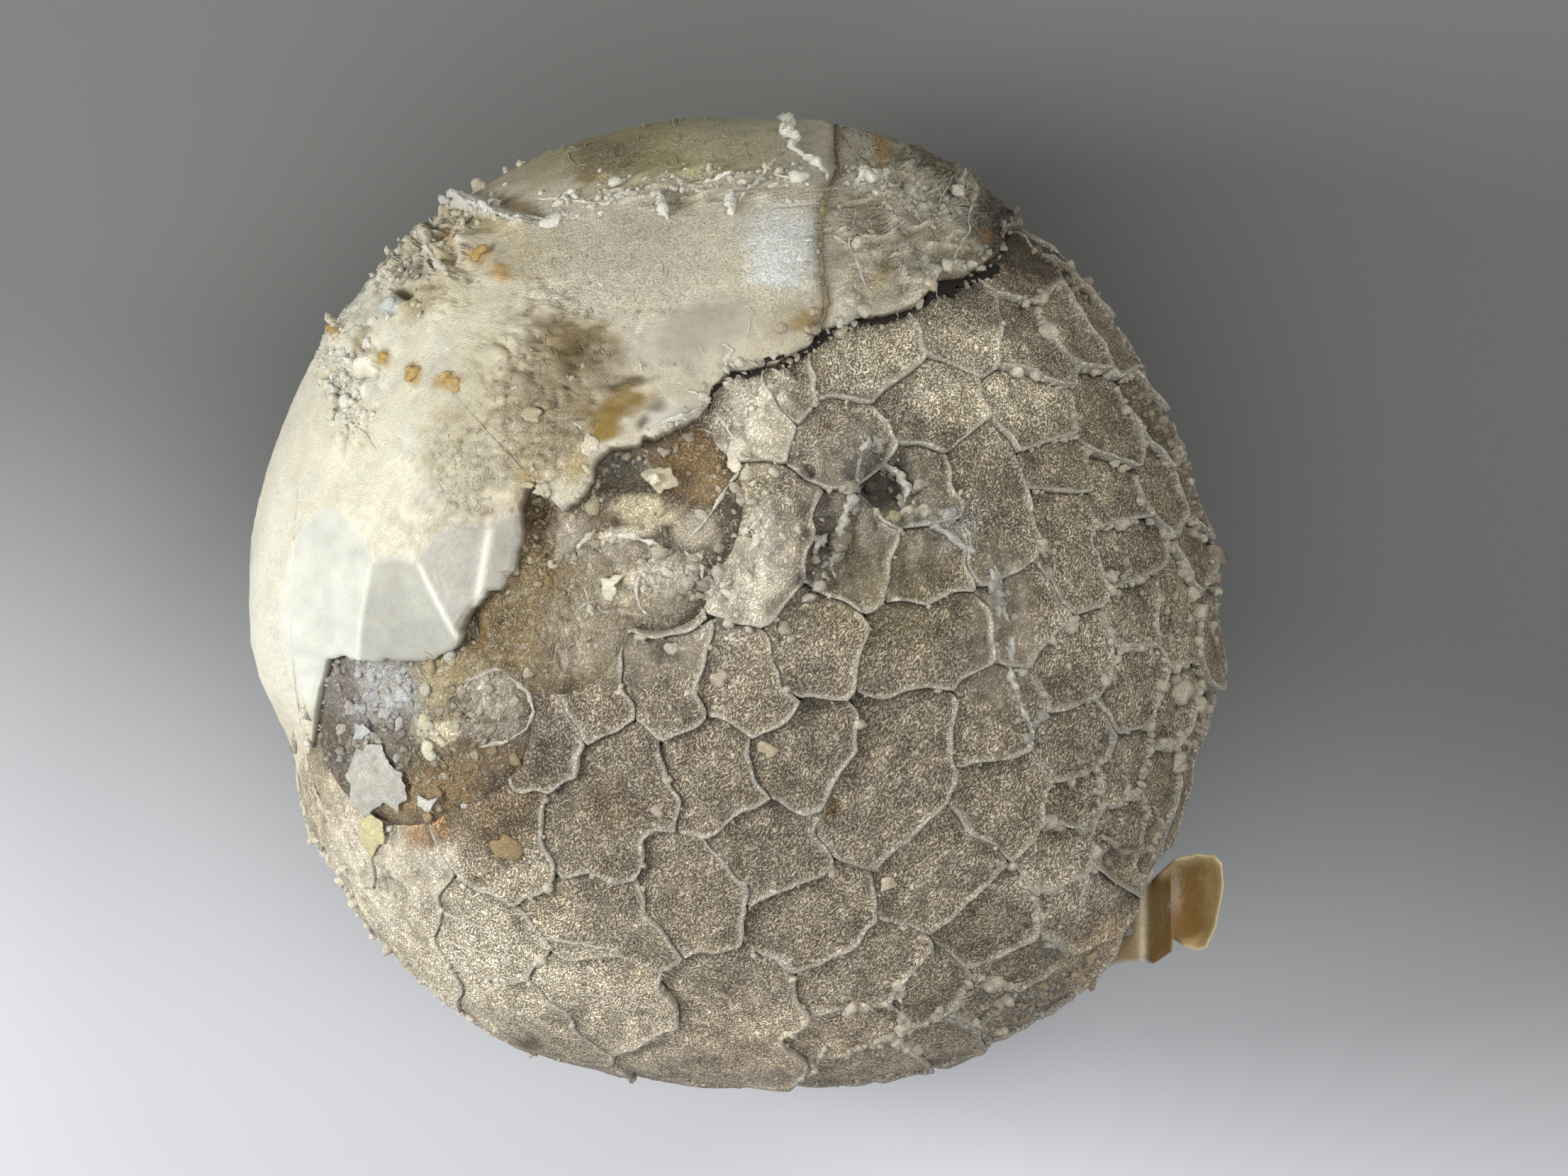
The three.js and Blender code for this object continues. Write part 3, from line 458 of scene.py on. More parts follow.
SHELL_COLOUR = "b5ae9b"
SHELL_STAINS = [
    (-17.0, 5.0, 7.0, 14.0, 0, "d3d1c0", 1.0), (-13.4, 6.4, 3.8, 6.0, -10, "d4d0bc", 1.0),
    (-14.5, 10.8, 2.6, 2.0, 45, "cfccb9", 0.8), (-9.6, 5.4, 2.0, 2.6, 0, "aba48d", 0.9),
    (-9.2, 10.2, 1.9, 1.6, 0, "bdb9a3", 0.85), (-8.4, 7.8, 1.5, 2.2, 0, "bbb49c", 0.9),
    (-10.9, 10.9, 1.3, 0.9, 0, "a89c7a", 0.8), (-6.4, 6.6, 1.8, 2.0, 30, "7d7056", 0.95),
    (-7.6, 5.0, 0.9, 1.4, 0, "857856", 0.7), (-5.8, 9.0, 2.3, 1.4, -25, "73623c", 0.85),
    (-6.9, 7.2, 1.9, 1.7, 0, "857961", 0.7), (-5.7, 8.9, 0.9, 0.8, 0, "524117", 0.9),
    (-4.9, 8.5, 1.0, 0.9, 0, "857b67", 0.7), (-7.2, 12.2, 1.8, 1.4, 0, "a69d82", 0.85),
    (-3.6, 12.2, 3.2, 1.8, 0, "a9a392", 0.9), (-1.4, 9.7, 2.4, 1.2, 10, "958e80", 1.0),
    (-3.4, 9.2, 0.7, 0.9, 0, "aaa397", 0.8), (1.5, 12.5, 1.6, 1.6, 0, "c5c7c1", 1.0),
    (1.3, 12.0, 1.0, 0.9, 0, "c6cac8", 0.7), (1.4, 10.0, 1.2, 0.6, 20, "a0977f", 0.8),
    (2.4, 10.1, 0.55, 0.4, 40, "957a45", 0.8), (2.7, 9.8, 0.3, 0.4, 0, "6a4f24", 0.7),
    # The stain at (-4.0, 7.75) is painted shadow above the amber band.
    (-4.0, 7.75, 1.2, 0.25, 12, "4a4122", 0.9), (-4.2, 7.1, 1.5, 0.6, 10, "6b5724", 1.0),
    (-5.7, 4.9, 0.5, 0.9, -20, "998b61", 0.9), (-4.7, 6.3, 0.7, 0.7, 0, "7c6834", 1.0),
    (-2.7, 6.7, 1.3, 0.45, 25, "b1ac9f", 1.0), (-2.9, 7.0, 0.5, 0.25, 20, "6f695c", 0.9),
    (-3.4, 6.4, 0.25, 0.4, -30, "5a4f43", 0.9), (-7.4, 4.4, 0.5, 0.6, 0, "8f7e58", 0.8),
    (-4.0, 16.6, 6.5, 2.0, -3, "938b5e", 1.0), (-4.4, 15.8, 1.8, 0.7, 0, "6b6040", 0.9),
    (-5.2, 15.0, 0.8, 0.4, 0, "7a683f", 0.8), (-7.6, 15.0, 1.8, 0.8, 15, "958d70", 0.8),
    # The stain at (-7.9, 13.9) is painted shadow beside the white crest.
    (-0.6, 16.4, 2.2, 0.9, 0, "aaa385", 0.8), (-7.9, 13.9, 1.2, 0.35, -15, "6d5d40", 0.9),
    (-2.1, 14.2, 0.5, 0.3, -30, "80745c", 0.8), (0.3, 14.2, 0.35, 0.3, 0, "857a64", 0.7),
    (5.0, 13.3, 2.4, 2.8, 0, "a0977f", 1.0), (3.9, 16.2, 0.7, 1.2, 0, "a59d8a", 0.8),
    (5.0, 16.5, 0.35, 1.0, 0, "8d6a2f", 0.8), (7.2, 16.0, 2.8, 1.6, -35, "3c3210", 1.0),
    # The stain at (9.4, 13.8) is painted shadow of the gap between the crust and the plates.
    (9.4, 13.8, 1.1, 1.5, 30, "3d2d13", 1.0), (8.7, 15.0, 1.0, 0.8, -40, "5a4c2a", 0.8),
    (7.6, 12.9, 1.1, 0.7, 20, "8f845f", 0.8), (8.4, 12.4, 0.6, 0.3, 0, "4c3a1c", 0.8),
    (4.6, 15.3, 0.3, 0.3, 0, "96702f", 1.0), (4.2, 14.0, 0.5, 0.3, 45, "a58a58", 0.7),
    (4.9, 11.5, 0.7, 0.4, 20, "c2b08c", 0.8), (4.3, 14.7, 0.8, 0.35, 20, "cdc8b7", 0.8),
    (5.2, 11.9, 0.5, 0.35, 0, "86764c", 0.7), (3.5, 10.6, 0.5, 0.35, 0, "bfb8a5", 0.7),
    (-10.6, 12.4, 2.0, 1.6, 0, "b2a98d", 0.8), (-11.8, 11.0, 0.32, 0.24, 0, "4a3820", 0.95),
    (-11.5, 11.7, 0.6, 0.35, 0, "7d786b", 0.8), (-12.4, 10.6, 0.5, 0.4, 0, "c3c8c3", 0.8),
    (-10.1, 12.9, 0.6, 0.55, 0, "80602c", 0.8), (-9.0, 13.3, 1.3, 0.3, -12, "8f8057", 0.8),
    (-9.2, 13.8, 1.5, 0.35, -15, "d2d0c4", 1.0), (-11.2, 12.7, 0.14, 0.8, 15, "81796a", 0.8),
    (-13.6, 8.8, 0.3, 0.8, -30, "d8d5c6", 0.8), (-13.4, 9.4, 0.4, 0.2, 40, "8f8763", 0.7),
    # The stain at (9.5, 13.6) is painted shadow of the gap between the crust and the plates.
    (-7.2, 2.8, 0.8, 1.2, 0, "7d6740", 0.6), (9.5, 13.6, 1.5, 1.9, 30, "1f1508", 1.0),
    (9.0, 13.3, 0.4, 0.4, 0, "6d4a1a", 0.9), (5.0, 16.2, 0.4, 1.2, 0, "8a6a34", 0.9),
    (12.0, 20.0, 4.0, 5.0, 0, "7d7459", 0.9), (0.0, 22.0, 9.0, 3.0, 0, "978c6d", 0.9),
    (-17.0, -6.4, 2.0, 2.6, 0, "d2cab3", 1.0)]
ORANGE_DOTS = [     # x, y and the two radii
    (-12.15, 13.15, 0.35, 0.3), (-11.0, 13.2, 0.2, 0.2), (-14.3, 9.6, 0.28, 0.38),
    (-12.55, 8.65, 0.26, 0.36), (-11.45, 8.1, 0.4, 0.38), (-10.15, 7.8, 0.55, 0.3),
    (-9.1, 12.15, 0.42, 0.32), (-8.35, 11.5, 0.4, 0.4), (-10.0, 12.6, 0.4, 0.3)]
SHELL_STAINS += [(x, y, 1.1 * rx, 1.1 * ry, 0, "a5854c", 0.9) for x, y, rx, ry in ORANGE_DOTS]


# ------------------------------------------------------------------ relief shared by the pieces
# Ovals with a relief or a finish of their own: x, y, the two radii, and the turn if it has one.
CRAGGY = [      # the bare stone is sharply lumpy
    (-7.4, 0.2, 2.6, 4.6), (-9.2, -4.0, 1.6, 1.6), (-10.8, -6.8, 2.6, 1.6), (-3.6, 0.2, 2.6, 1.6),
    (-4.4, 2.0, 1.8, 0.7), (-13.8, -6.4, 1.6, 1.8)]
WILD = [        # plates stand up like scales
    (13.6, -9.5, 4.4, 5.0), (15.6, 0.0, 3.4, 8.5), (8.0, -15.5, 6.0, 2.6), (12.6, 9.0, 3.0, 3.4)]
CRUSTED = [     # crust covers the plates
    (0.2, 1.8, 2.6, 3.6), (0.8, 6.8, 2.2, 2.6), (4.6, 3.4, 3.4, 3.6), (-13.5, -9.4, 3.6, 3.4),
    (9.6, -1.0, 1.2, 4.0), (-3.4, -1.6, 2.4, 1.6), (-16.0, -6.5, 1.6, 3.0)]
CRUSTY = [      # the shell is crumbly
    (-6.6, 8.2, 2.8, 3.4), (5.8, 13.4, 3.4, 3.2), (-10.8, 12.2, 2.6, 2.2), (-9.4, 4.4, 1.8, 2.4),
    (-1.8, 14.6, 4.4, 0.9), (-13.8, 8.0, 1.2, 2.6), (-7.6, 4.6, 1.6, 2.0)]
LACY = [        # a network of pale threads lies on the shell
    (5.8, 13.4, 2.9, 2.6, 20), (-10.4, 12.4, 1.4, 1.2)]
STREAKED = [    # the shell has fine pale streaks
    (-4.0, 12.3, 5.2, 2.4), (1.2, 12.6, 2.2, 2.4), (-3.0, 16.4, 7.0, 2.4), (6.0, 13.8, 4.0, 4.2),
    (-6.8, 5.6, 1.8, 2.2)]
DRUSY = (-13.2, -3.6, 2.6, 2.2)     # fine bubbles in the recess under the chip
GLOSSY = [      # the shell is smooth and glossy
    (-1.4, 9.7, 2.6, 1.3, 10), (-4.2, 6.9, 1.4, 0.8, 20), (-2.7, 6.6, 1.4, 0.5, 25),
    (-4.8, 6.0, 0.8, 0.7)]

# Forms of the shell.
CUTS = [        # x, y and depth of a flat cut's middle, how it leans along x and y, its colour
    (-14.8, -0.2, 0.34, 0.04, -0.03, "bcbeb5"), (-12.1, -0.6, 0.33, 0.0, -0.10, "92938b"),
    (-10.4, 1.2, 0.13, 0.08, -0.08, "76746a"), (-9.7, 0.1, 0.10, 0.22, -0.05, "86837a")]
CRESTS = [      # a line of the skin, its half width and how far it stands out
    ([(-10.95, 12.9), (-10.4, 12.1), (-10.0, 11.2)], 0.24, 0.30),
    ([(-13.9, 9.1), (-13.3, 9.6)], 0.18, 0.2),
    ([(-13.6, 9.0), (-13.9, 8.2), (-13.8, 7.2), (-13.9, 6.6)], 0.16, 0.2),
    ([(-13.9, 6.6), (-13.2, 5.8)], 0.08, 0.1),
    ([(-10.3, 14.0), (-9.7, 14.05), (-9.0, 13.7), (-8.2, 13.35), (-7.6, 13.3)], 0.3, 0.42),
    ([(-2.8, 14.2), (-1.9, 14.6), (-0.6, 14.9), (0.4, 14.9), (1.2, 15.2)], 0.14, 0.12),
    ([(-3.6, 9.3), (-3.4, 9.8), (-2.9, 10.2)], 0.12, 0.10),
    ([(-8.5, 6.2), (-7.9, 7.5), (-8.2, 9.4), (-7.2, 10.6)], 0.5, 0.14),
    ([(-9.4, 3.4), (-8.7, 4.6), (-8.5, 6.4)], 0.5, 0.12),
    ([(4.2, 14.9), (4.5, 14.7), (5.1, 14.8), (5.2, 15.2)], 0.14, 0.14)]
PITS = [        # x, y, radius and depth
    (-11.8, 11.0, 0.30, 0.5), (-12.3, 10.4, 0.25, 0.15), (-5.8, 8.9, 0.8, 0.18),
    (-8.3, 12.9, 1.2, 0.2), (3.6, 11.4, 0.5, 0.12), (6.6, 12.4, 0.8, 0.15), (-7.4, 10.3, 0.6, 0.08),
    (-4.6, 6.8, 0.9, 0.2), (-9.35, 13.75, 0.14, 0.2), (-10.9, 13.3, 0.22, 0.25),
    (-2.1, 14.2, 0.4, 0.15), (0.3, 14.2, 0.35, 0.12), (9.2, 13.7, 1.0, 0.5)]


def painted_mask(place, ovals):
    """1 in the middles of some ovals, eased to 0 past their ragged edges."""
    ragged = 0.35 * rough(on_plane(place), 1.4, 81)
    mask = np.zeros(place.shape[:-1])
    for oval in ovals:
        mask = np.maximum(mask, 1 - ease(0.55, 1.2, oval_reach(place, *oval) + ragged))
    return mask


def lace_crests(place, point):
    """A network of crests, where one of two noises crosses zero, inside the lacy ovals."""
    near = np.minimum(np.abs(noise(point, 1.5, 58)), 1.3 * np.abs(noise(point, 0.8, 62)))
    return painted_mask(place, LACY) * bump(near, 0.13)


def crusty_share(place):
    """How crumbly the shell is: inside the crusty ovals, but not where it is glossy."""
    return painted_mask(place, CRUSTY) * (1 - painted_mask(place, GLOSSY))


def plate_share(place):
    """How much of their relief the plates keep: 0 inside the smooth ovals, 1 well outside."""
    share = np.ones(place.shape[:-1])
    for x, y, rx, ry in SMOOTH_OVALS:
        share *= ease(0.8, 1.1, oval_reach(place, x, y, rx, ry))
    return share


def bowl_depth(place):
    """Depth of the bowls: each full to a third of its radius and eased out at its rim."""
    return sum(deep * (1 - ease(0.35, 1.1, oval_reach(place, x, y, rx, ry)))
               for x, y, rx, ry, deep in BOWLS)


def mould_height(place, point):
    """Level of the stone under its plates, and at full height where they are eroded away.

    Bare stone is lumpy by three layers of noise and craggy inside its ovals. Its fine winding
    threads stand where a stretched noise crosses zero, and the recess under the chip has small
    bubbles, the size of one noise.
    """
    bare = 1 - plate_share(place)
    lumps = 0.09 * rough(point, 1.3, 21)
    threads = 0.05 * bump(rough(point * np.array([1.0, 0.6, 1.0]), 0.55, 25), 0.12)
    drusy = 1 - ease(0.8, 1.2, oval_reach(place, *DRUSY))
    bubbles = 0.10 * np.abs(noise(point, 0.5, 29)) * drusy
    crags = 0.38 * painted_mask(place, CRAGGY) * (crust_relief(point) - CRUST_FLUSH)
    return (-BED_DEPTH + bare * (BED_DEPTH + lumps + bubbles + crags) + threads * bare
            - 1.15 * bowl_depth(place))


# ------------------------------------------------------------------ plates
def all_middles():
    """The middles that plates grow from, on the smooth stone, and the plate each belongs to."""
    points, owners = [], []
    for plate, row in enumerate(DOME_PLATES):
        found = smooth_point(roll_up(np.reshape(row, (-1, 2))))
        points.append(found)
        owners += [plate] * len(found)
    for ring, (height, count) in enumerate(BELLY_RINGS):
        azimuth = 2 * np.pi * (np.arange(count) + 0.5 * (ring % 2)) / count
        level = np.sqrt(1 - height ** 2)
        ball = np.stack([level * np.cos(azimuth), level * np.sin(azimuth),
                         np.full(count, height)], -1)
        points.append(smooth_point(ball))
        owners += list(range(owners[-1] + 1, owners[-1] + 1 + count))
    return np.concatenate(points), np.array(owners)


MIDDLES, OWNERS = all_middles()
NEIGHBOURS = 22              # how many of the nearest middles can bound a plate
RAY_MARKS = 72               # steps along a ray in which its border is looked for
RAY_REACH = (0.1, 8.6)       # where these start and end
HALVINGS = 8                 # how often the step that holds the border is halved


def bent(point):
    """Bends the straight borders between plates: long waves, and two sizes of raggedness."""
    bent_point = point + 0.03 * np.stack([rough(point, 0.5, seed) for seed in (31, 36, 39)], -1)
    for axis, height, turns in BORDER_WAVES:
        bent_point[..., axis] += height * np.sin(point @ np.array(turns))
    return bent_point


def within_plate(point, plate, near):
    """How far points lie inside a plate, and how much its nearest border faces the shingle way.

    For every other plate's middle, the gap is the difference of the squared distances to it and
    to the plate's own nearest middle, over twice the distance between the two. The least gap is
    the distance to the border, and the facing is a mean over middles weighted by e^(-gap/0.12).
    """
    own, other = MIDDLES[OWNERS == plate], MIDDLES[near]
    at = bent(point)[..., None, :]
    own_squares = ((at - own) ** 2).sum(-1)
    which = own_squares.argmin(-1)
    apart = np.linalg.norm(own[:, None] - other, axis=-1)[which]
    gaps = (((at - other) ** 2).sum(-1) - own_squares.min(-1)[..., None]) / (2 * apart)
    least = gaps.min(-1)
    ways = (other - own.mean(0)) @ SHINGLE_WAY / np.linalg.norm(other - own.mean(0), axis=-1)
    weights = np.exp(-(gaps - least[..., None]) / 0.12)
    return least, (weights * ways).sum(-1) / weights.sum(-1)


def plate_rays(plate, azimuths, middle, first, second):
    """Distance from a plate's middle to its border along each ray, by marching and halving."""
    apart = np.linalg.norm(MIDDLES - middle, axis=-1)
    apart[OWNERS == plate] = np.inf
    near = np.argsort(apart)[:NEIGHBOURS]

    def border(reach):
        ray = np.cos(azimuths)[:, None, None] * first + np.sin(azimuths)[:, None, None] * second
        point = smooth_point(ball_of(middle + reach[..., None] * ray))
        return within_plate(point, plate, near)[0] - PLATE_GAP

    marks = np.broadcast_to(np.linspace(*RAY_REACH, RAY_MARKS), (len(azimuths), RAY_MARKS))
    outside = border(marks) < 0
    crossed = np.where(outside.any(axis=1), outside.argmax(axis=1), RAY_MARKS - 1)[:, None]
    high = np.take_along_axis(marks, crossed, axis=1)
    low = np.take_along_axis(marks, np.maximum(0, crossed - 1), axis=1)
    for _ in range(HALVINGS):
        half = (low + high) / 2
        past = border(half) < 0
        low, high = np.where(past, low, half), np.where(past, half, high)
    return low[:, 0], near


def with_wall(values):
    """A plate's values without its middle, with the last ring's again for the wall's two rings."""
    return np.concatenate([values[1:], values[-1:], values[-1:]])


def plate_body(plate, rows, columns, chance):
    """One plate: rings from its middle to its border, closer together towards it, and a wall.

    Its height is a slope towards the shingle way, a lip where the border faces that way, a dip
    where it faces back, a rounded rim, a fine roughness and, inside the crusted ovals, crust.
    """
    own = MIDDLES[OWNERS == plate]
    middle = smooth_point(ball_of(own.mean(0)))
    normal = smooth_normal(ball_of(middle))
    first, second = tangents(normal)
    azimuths = 2 * np.pi * np.arange(columns) / columns
    reach, near = plate_rays(plate, azimuths, middle, first, second)
    share = 1 - (1 - np.arange(1, rows + 1) / rows) ** 1.6
    ray = np.cos(azimuths)[:, None] * first + np.sin(azimuths)[:, None] * second
    ball = ball_of(middle + (share[:, None] * reach)[..., None] * ray)
    ball = np.concatenate([np.broadcast_to(ball_of(middle), (1, columns, 3)), ball])
    point, place = smooth_point(ball), unroll(ball)
    edge, facing = within_plate(point, plate, near)
    edge = np.maximum(0, edge - PLATE_GAP)
    slope = SHINGLE_WAY - (SHINGLE_WAY @ normal) * normal
    wild = painted_mask(place[0, 0], WILD)
    lip_height = LIP_HEIGHT * chance.uniform(0.6, 1.3) * (1 + 0.5 * wild)
    tilt = PLATE_TILT * chance.uniform(0.5, 1.3) * (1 + 1.6 * wild)
    unevenness, grit = rough(point, 0.9, 41), rough(point, 0.48, 44)
    broken = 0.45 + 0.65 * ease(-0.45, 0.35, rough(point, 0.6, 50))
    lip_width = LIP_WIDTH * (1.1 + 0.5 * unevenness)
    lip = ease(-0.5, 0.3, facing) * broken * bump(edge - 0.06, lip_width)
    dip = np.maximum(0, -facing) * (1 - ease(0.05, 0.7, edge))
    crust = painted_mask(place, CRUSTED)
    relief = crust_relief(point)
    height = (tilt * ((point - middle) @ slope) + lip_height * lip - 0.06 * dip
              - 0.04 * (1 - ease(0, 0.05, edge)) ** 2 + chance.uniform(-0.03, 0.03)
              + 0.07 * unevenness + 0.07 * grit + 0.018 * noise(point, 0.16, 47)
              + 0.45 * crust * (relief - CRUST_FLUSH))
    kept = plate_share(place)
    height *= 1 - 0.65 * (1 - ease(0.7, 1.2, oval_reach(place, *SOFT_OVAL)))
    crack = (1 - ease(0.05, 0.24, to_line(place, CRACKED_LEDGE))) * (0.75 + 0.4 * unevenness)
    height = height * kept - WORN_DEPTH * (1 - kept) - bowl_depth(place) - CRACK_DEPTH * crack
    top = lifted(ball, height)
    wall = [lifted(ball[-1], height[-1] - drop) for drop in (0.12, PLATE_DEPTH)]
    foot = lifted(ball_of(middle)[None], np.array([-PLATE_DEPTH - 0.1]))
    return {
        "points": (top[0, :1], np.concatenate([top[1:], np.stack(wall)]), foot),
        "edge": with_wall(edge), "facing": with_wall(facing), "place": with_wall(place),
        "broken": with_wall(broken), "crust": with_wall(crust),
        # Painted light and shade: the colour is lighter where the fine relief stands high, and
        # darker in the valleys of the crust.
        "relief_light_and_shade": with_wall(1 + 0.55 * grit + 0.25 * unevenness
                          - 0.5 * crust * (1 - ease(0.0, 0.2, relief))),
        "middle": place[0, 0],
        "shade": chance.uniform(0.86, 1.12)}


def plates_piece(name, bodies, rows, columns, material):
    """Plates as one piece, with their colour and the masks of their lips and sutures."""
    def stacked(layer):
        return np.stack([b[layer] for b in bodies])

    points = sewn(np.concatenate([b["points"][0] for b in bodies]),
                  np.stack([b["points"][1] for b in bodies]),
                  np.concatenate([b["points"][2] for b in bodies]))
    edge, facing, place = stacked("edge"), stacked("facing"), stacked("place")
    ragged = 0.7 + 0.6 * rough(on_plane(place), 0.8, 49) + 0.3 * noise(on_plane(place), 0.25, 52)
    lip = ease(-0.35, 0.1, facing) * (1 - ease(0.07, 0.20 * ragged + 0.10, edge))
    lip *= np.clip(1.15 * stacked("broken"), 0, 1)
    # Grime, and painted shadow, along the border that faces back, where the neighbouring plate's
    # lip stands over it.
    back = 1 - ease(-0.5, 0.0, facing)
    seam = back * np.maximum(1 - ease(0.02, 0.13, edge),
                             0.5 * (1 - ease(0.0, 0.34 * ragged + 0.1, edge)))
    shade = stacked("shade")[:, None, None, None]
    # The plates' colour times their painted light and shade of the relief.
    tint = painted(place, PLATE_COLOUR, PLATE_STAINS) * shade * stacked("relief_light_and_shade")[..., None]
    middle_tint = painted(stacked("middle"), PLATE_COLOUR, PLATE_STAINS) * shade[:, 0, 0]

    def layer(values):
        ends = np.zeros((len(bodies), 1))
        return sewn(ends, values[..., None], ends)[:, 0]

    make_piece(name, points, ring_faces(len(bodies), rows + 2, columns), material,
               tint=sewn(middle_tint, tint, middle_tint), lip=layer(lip), seam=layer(seam),
               crust=layer(stacked("crust")))


# ------------------------------------------------------------------ mould, shell and flange
def mould_piece(material):
    """The stone under its plates: rings round the middle of the bare part, close together there.

    The angle from that middle grows as 0.36 t + 0.64 t^3.2 of a half turn, for t from 0 to 1.
    Its colour is darker in the valleys of the craggy relief and lighter on its crests: painted
    shade and painted light.
    """
    rows, columns = 170, 520
    axis = roll_up(MOULD_MIDDLE)
    first, second = tangents(axis)
    t = np.arange(1, rows + 1) / (rows + 1)
    turn = np.pi * (0.36 * t + 0.64 * t ** 3.2)
    azimuth = 2 * np.pi * np.arange(columns) / columns
    ray = np.cos(azimuth)[:, None] * first + np.sin(azimuth)[:, None] * second
    ball = (np.cos(turn)[:, None, None] * axis + np.sin(turn)[:, None, None] * ray)
    ball = sewn(axis[None], ball[None], -axis[None])
    point, place = smooth_point(ball), unroll(ball)
    craggy, relief = painted_mask(place, CRAGGY), crust_relief(point)
    # Painted shade in the valleys of the craggy relief and painted light on its crests.
    low = 0.6 * craggy * (1 - ease(0.0, 0.22, relief))
    high = 0.45 * craggy * ease(0.3, 0.7, relief)
    tint = painted(place, MOULD_COLOUR, MOULD_STAINS) * (1 + high - low)[..., None]
    make_piece("mould", lifted(ball, mould_height(place, point)), ring_faces(1, rows, columns),
               material, tint=tint)


def chip_cuts(place):
    """How far each flat cut of the fresh chip goes into the shell: one layer for each cut.

    A cut is a plane that lies at its depth under the smooth stone in its middle, and leans.
    """
    ball = roll_up(place)
    point, normal = smooth_point(ball), smooth_normal(ball)
    layers = []
    for x, y, deep, lean_x, lean_y, _ in CUTS:
        middle = roll_up(np.array([x, y]))
        plane = unit(smooth_normal(middle) + np.array([lean_x, lean_y, 0]))
        over = (point - smooth_point(middle)) @ plane + deep
        layers.append(np.maximum(0, over) / np.maximum(0.3, normal @ plane))
    return np.stack(layers)


def shell_height(place, point):
    """Top of the shell over the smooth stone, thinner right of the vein and towards its tip.

    Cuts and pits sink it, crests, crust, lace and dots stand on it, and the vein is a groove.
    """
    thick = SHELL + (THIN_SHELL - SHELL) * ease(2.4, 4.2, place[..., 0])
    thick = thick * (1 - 0.5 * bump(to_line(place, THINNED_LEDGE), 0.9))
    thick = thick * (0.12 + 0.88 * ease(-6.0, -0.5, place[..., 1]))
    height = thick + 0.10 * rough(point, 2.4, 51)
    wobble = 1 + 0.8 * rough(point, 0.5, 55)
    for line, width, rise in CRESTS:
        height += rise * wobble * bump(to_line(place, np.array(line)), width)
    for x, y, radius, deep in PITS:
        height -= deep * bump(oval_reach(place, x, y, radius, radius), 1)
    for x, y, rx, ry in ORANGE_DOTS:
        height += 0.15 * bump(oval_reach(place, x, y, rx, ry), 0.8)
    depth = chip_cuts(place).max(axis=0)
    fresh = ease(0.0, CHIP_EDGE, depth)
    height += (1 - fresh) * (0.05 * rough(point, 0.7, 53)
                             + 0.55 * crusty_share(place) * (crust_relief(point) - CRUST_FLUSH))
    height += 0.22 * (1 - fresh) * lace_crests(place, point)
    height -= depth + 0.03 * fresh * rough(point, 1.1, 61)
    return height - 0.08 * bump(to_line(place, VEIN), 0.2)


def shell_outline():
    """The ledge as points, close together where it shows, each moved by a ragged amount."""
    seen = along_line(LEDGE[:SEEN_LEDGE], 0.085)
    rest = along_line(np.concatenate([LEDGE[SEEN_LEDGE - 1:], LEDGE[:1]]), 0.30)[1:-1]
    outline = np.concatenate([seen, rest])
    at = on_plane(outline)
    away = unit(outline - SHELL_MIDDLE)
    return outline + away * (0.16 * rough(at, 0.8, 63) + 0.06 * noise(at, 0.22, 67))[:, None]


def even_shares(start, ends, shares):
    """Where lines from one place of the skin to others reach shares of their own length.

    Lengths are summed over 200 short steps on the stone. Column c is looked up between c and
    c + room of one long rising row, so that all columns are looked up at once.
    """
    steps, room = np.linspace(0, 1, 201), 0.999
    points = smooth_point(roll_up(start + steps[:, None, None] * (ends - start)))
    runs = np.cumsum(np.linalg.norm(np.diff(points, axis=0), axis=-1), axis=0)
    runs = np.concatenate([np.zeros((1, len(ends))), room * runs / runs[-1]])
    columns = np.arange(len(ends))
    found = np.interp(room * shares[:, None] + columns, (runs + columns).T.ravel(),
                      np.tile(steps, len(ends)))
    found[-1] = 1.0
    return found


LACE_CREAM = "cdc7b5"
ARRIS_WHITE = "cfd0c6"
VEIN_BROWN = "6a5c42"


def shell_tint(places, fresh, rows):
    """Colour of the shell at its rings, of which the first `rows` are its top.

    Over the stains come painted shade in the crust's valleys and painted light on its crests, the
    lace, the flat cuts with a pale arris where two of them meet, painted shade in brown on the wall
    and the back, and the vein.
    """
    at = smooth_point(roll_up(places))
    tint = painted(places, SHELL_COLOUR, SHELL_STAINS)
    crusty, relief = crusty_share(places) * (1 - fresh), crust_relief(at)
    # Painted shade in the crust's valleys and painted light on its crests.
    low, high = 1 - ease(0.0, 0.22, relief), ease(0.35, 0.75, relief)
    tint *= 1 - (0.55 * crusty * low)[..., None] * np.array([0.8, 1.0, 1.3])
    tint *= 1 + 0.22 * (crusty * high)[..., None]
    lace = lace_crests(places, at) * (1 - fresh)
    tint *= 1 - 0.28 * (painted_mask(places, LACY[:1]) * (1 - lace))[..., None]
    lay(tint, 0.7 * lace, linear(LACE_CREAM))
    depth = chip_cuts(places)
    cut_tint = np.stack([linear(row[-1]) for row in CUTS])[depth.argmax(axis=0)]
    spots = 0.14 * rough(on_plane(places), 0.9, 65) + 0.10 * noise(on_plane(places), 0.35, 66)
    lay(tint, 0.9 * fresh, cut_tint * (1 + spots)[..., None])
    second, deepest = np.sort(depth, axis=0)[-2:]
    lay(tint, 0.7 * fresh * bump(deepest - np.maximum(0, second), 0.03), linear(ARRIS_WHITE))
    # The wall and the back darken to brown, most at the wall's foot: painted shade under the ledge.
    brown = np.concatenate([np.zeros(rows), [0.25, 0.7, 0.9, 1.0]])[:, None]
    grey_brown, red_brown = linear("6f6254"), linear("5f4827")
    lay(tint, brown, grey_brown + ease(-13, -9.5, places[..., :1]) * (red_brown - grey_brown))
    lay(tint, bump(to_line(places, VEIN), 0.17), linear(VEIN_BROWN))
    return tint


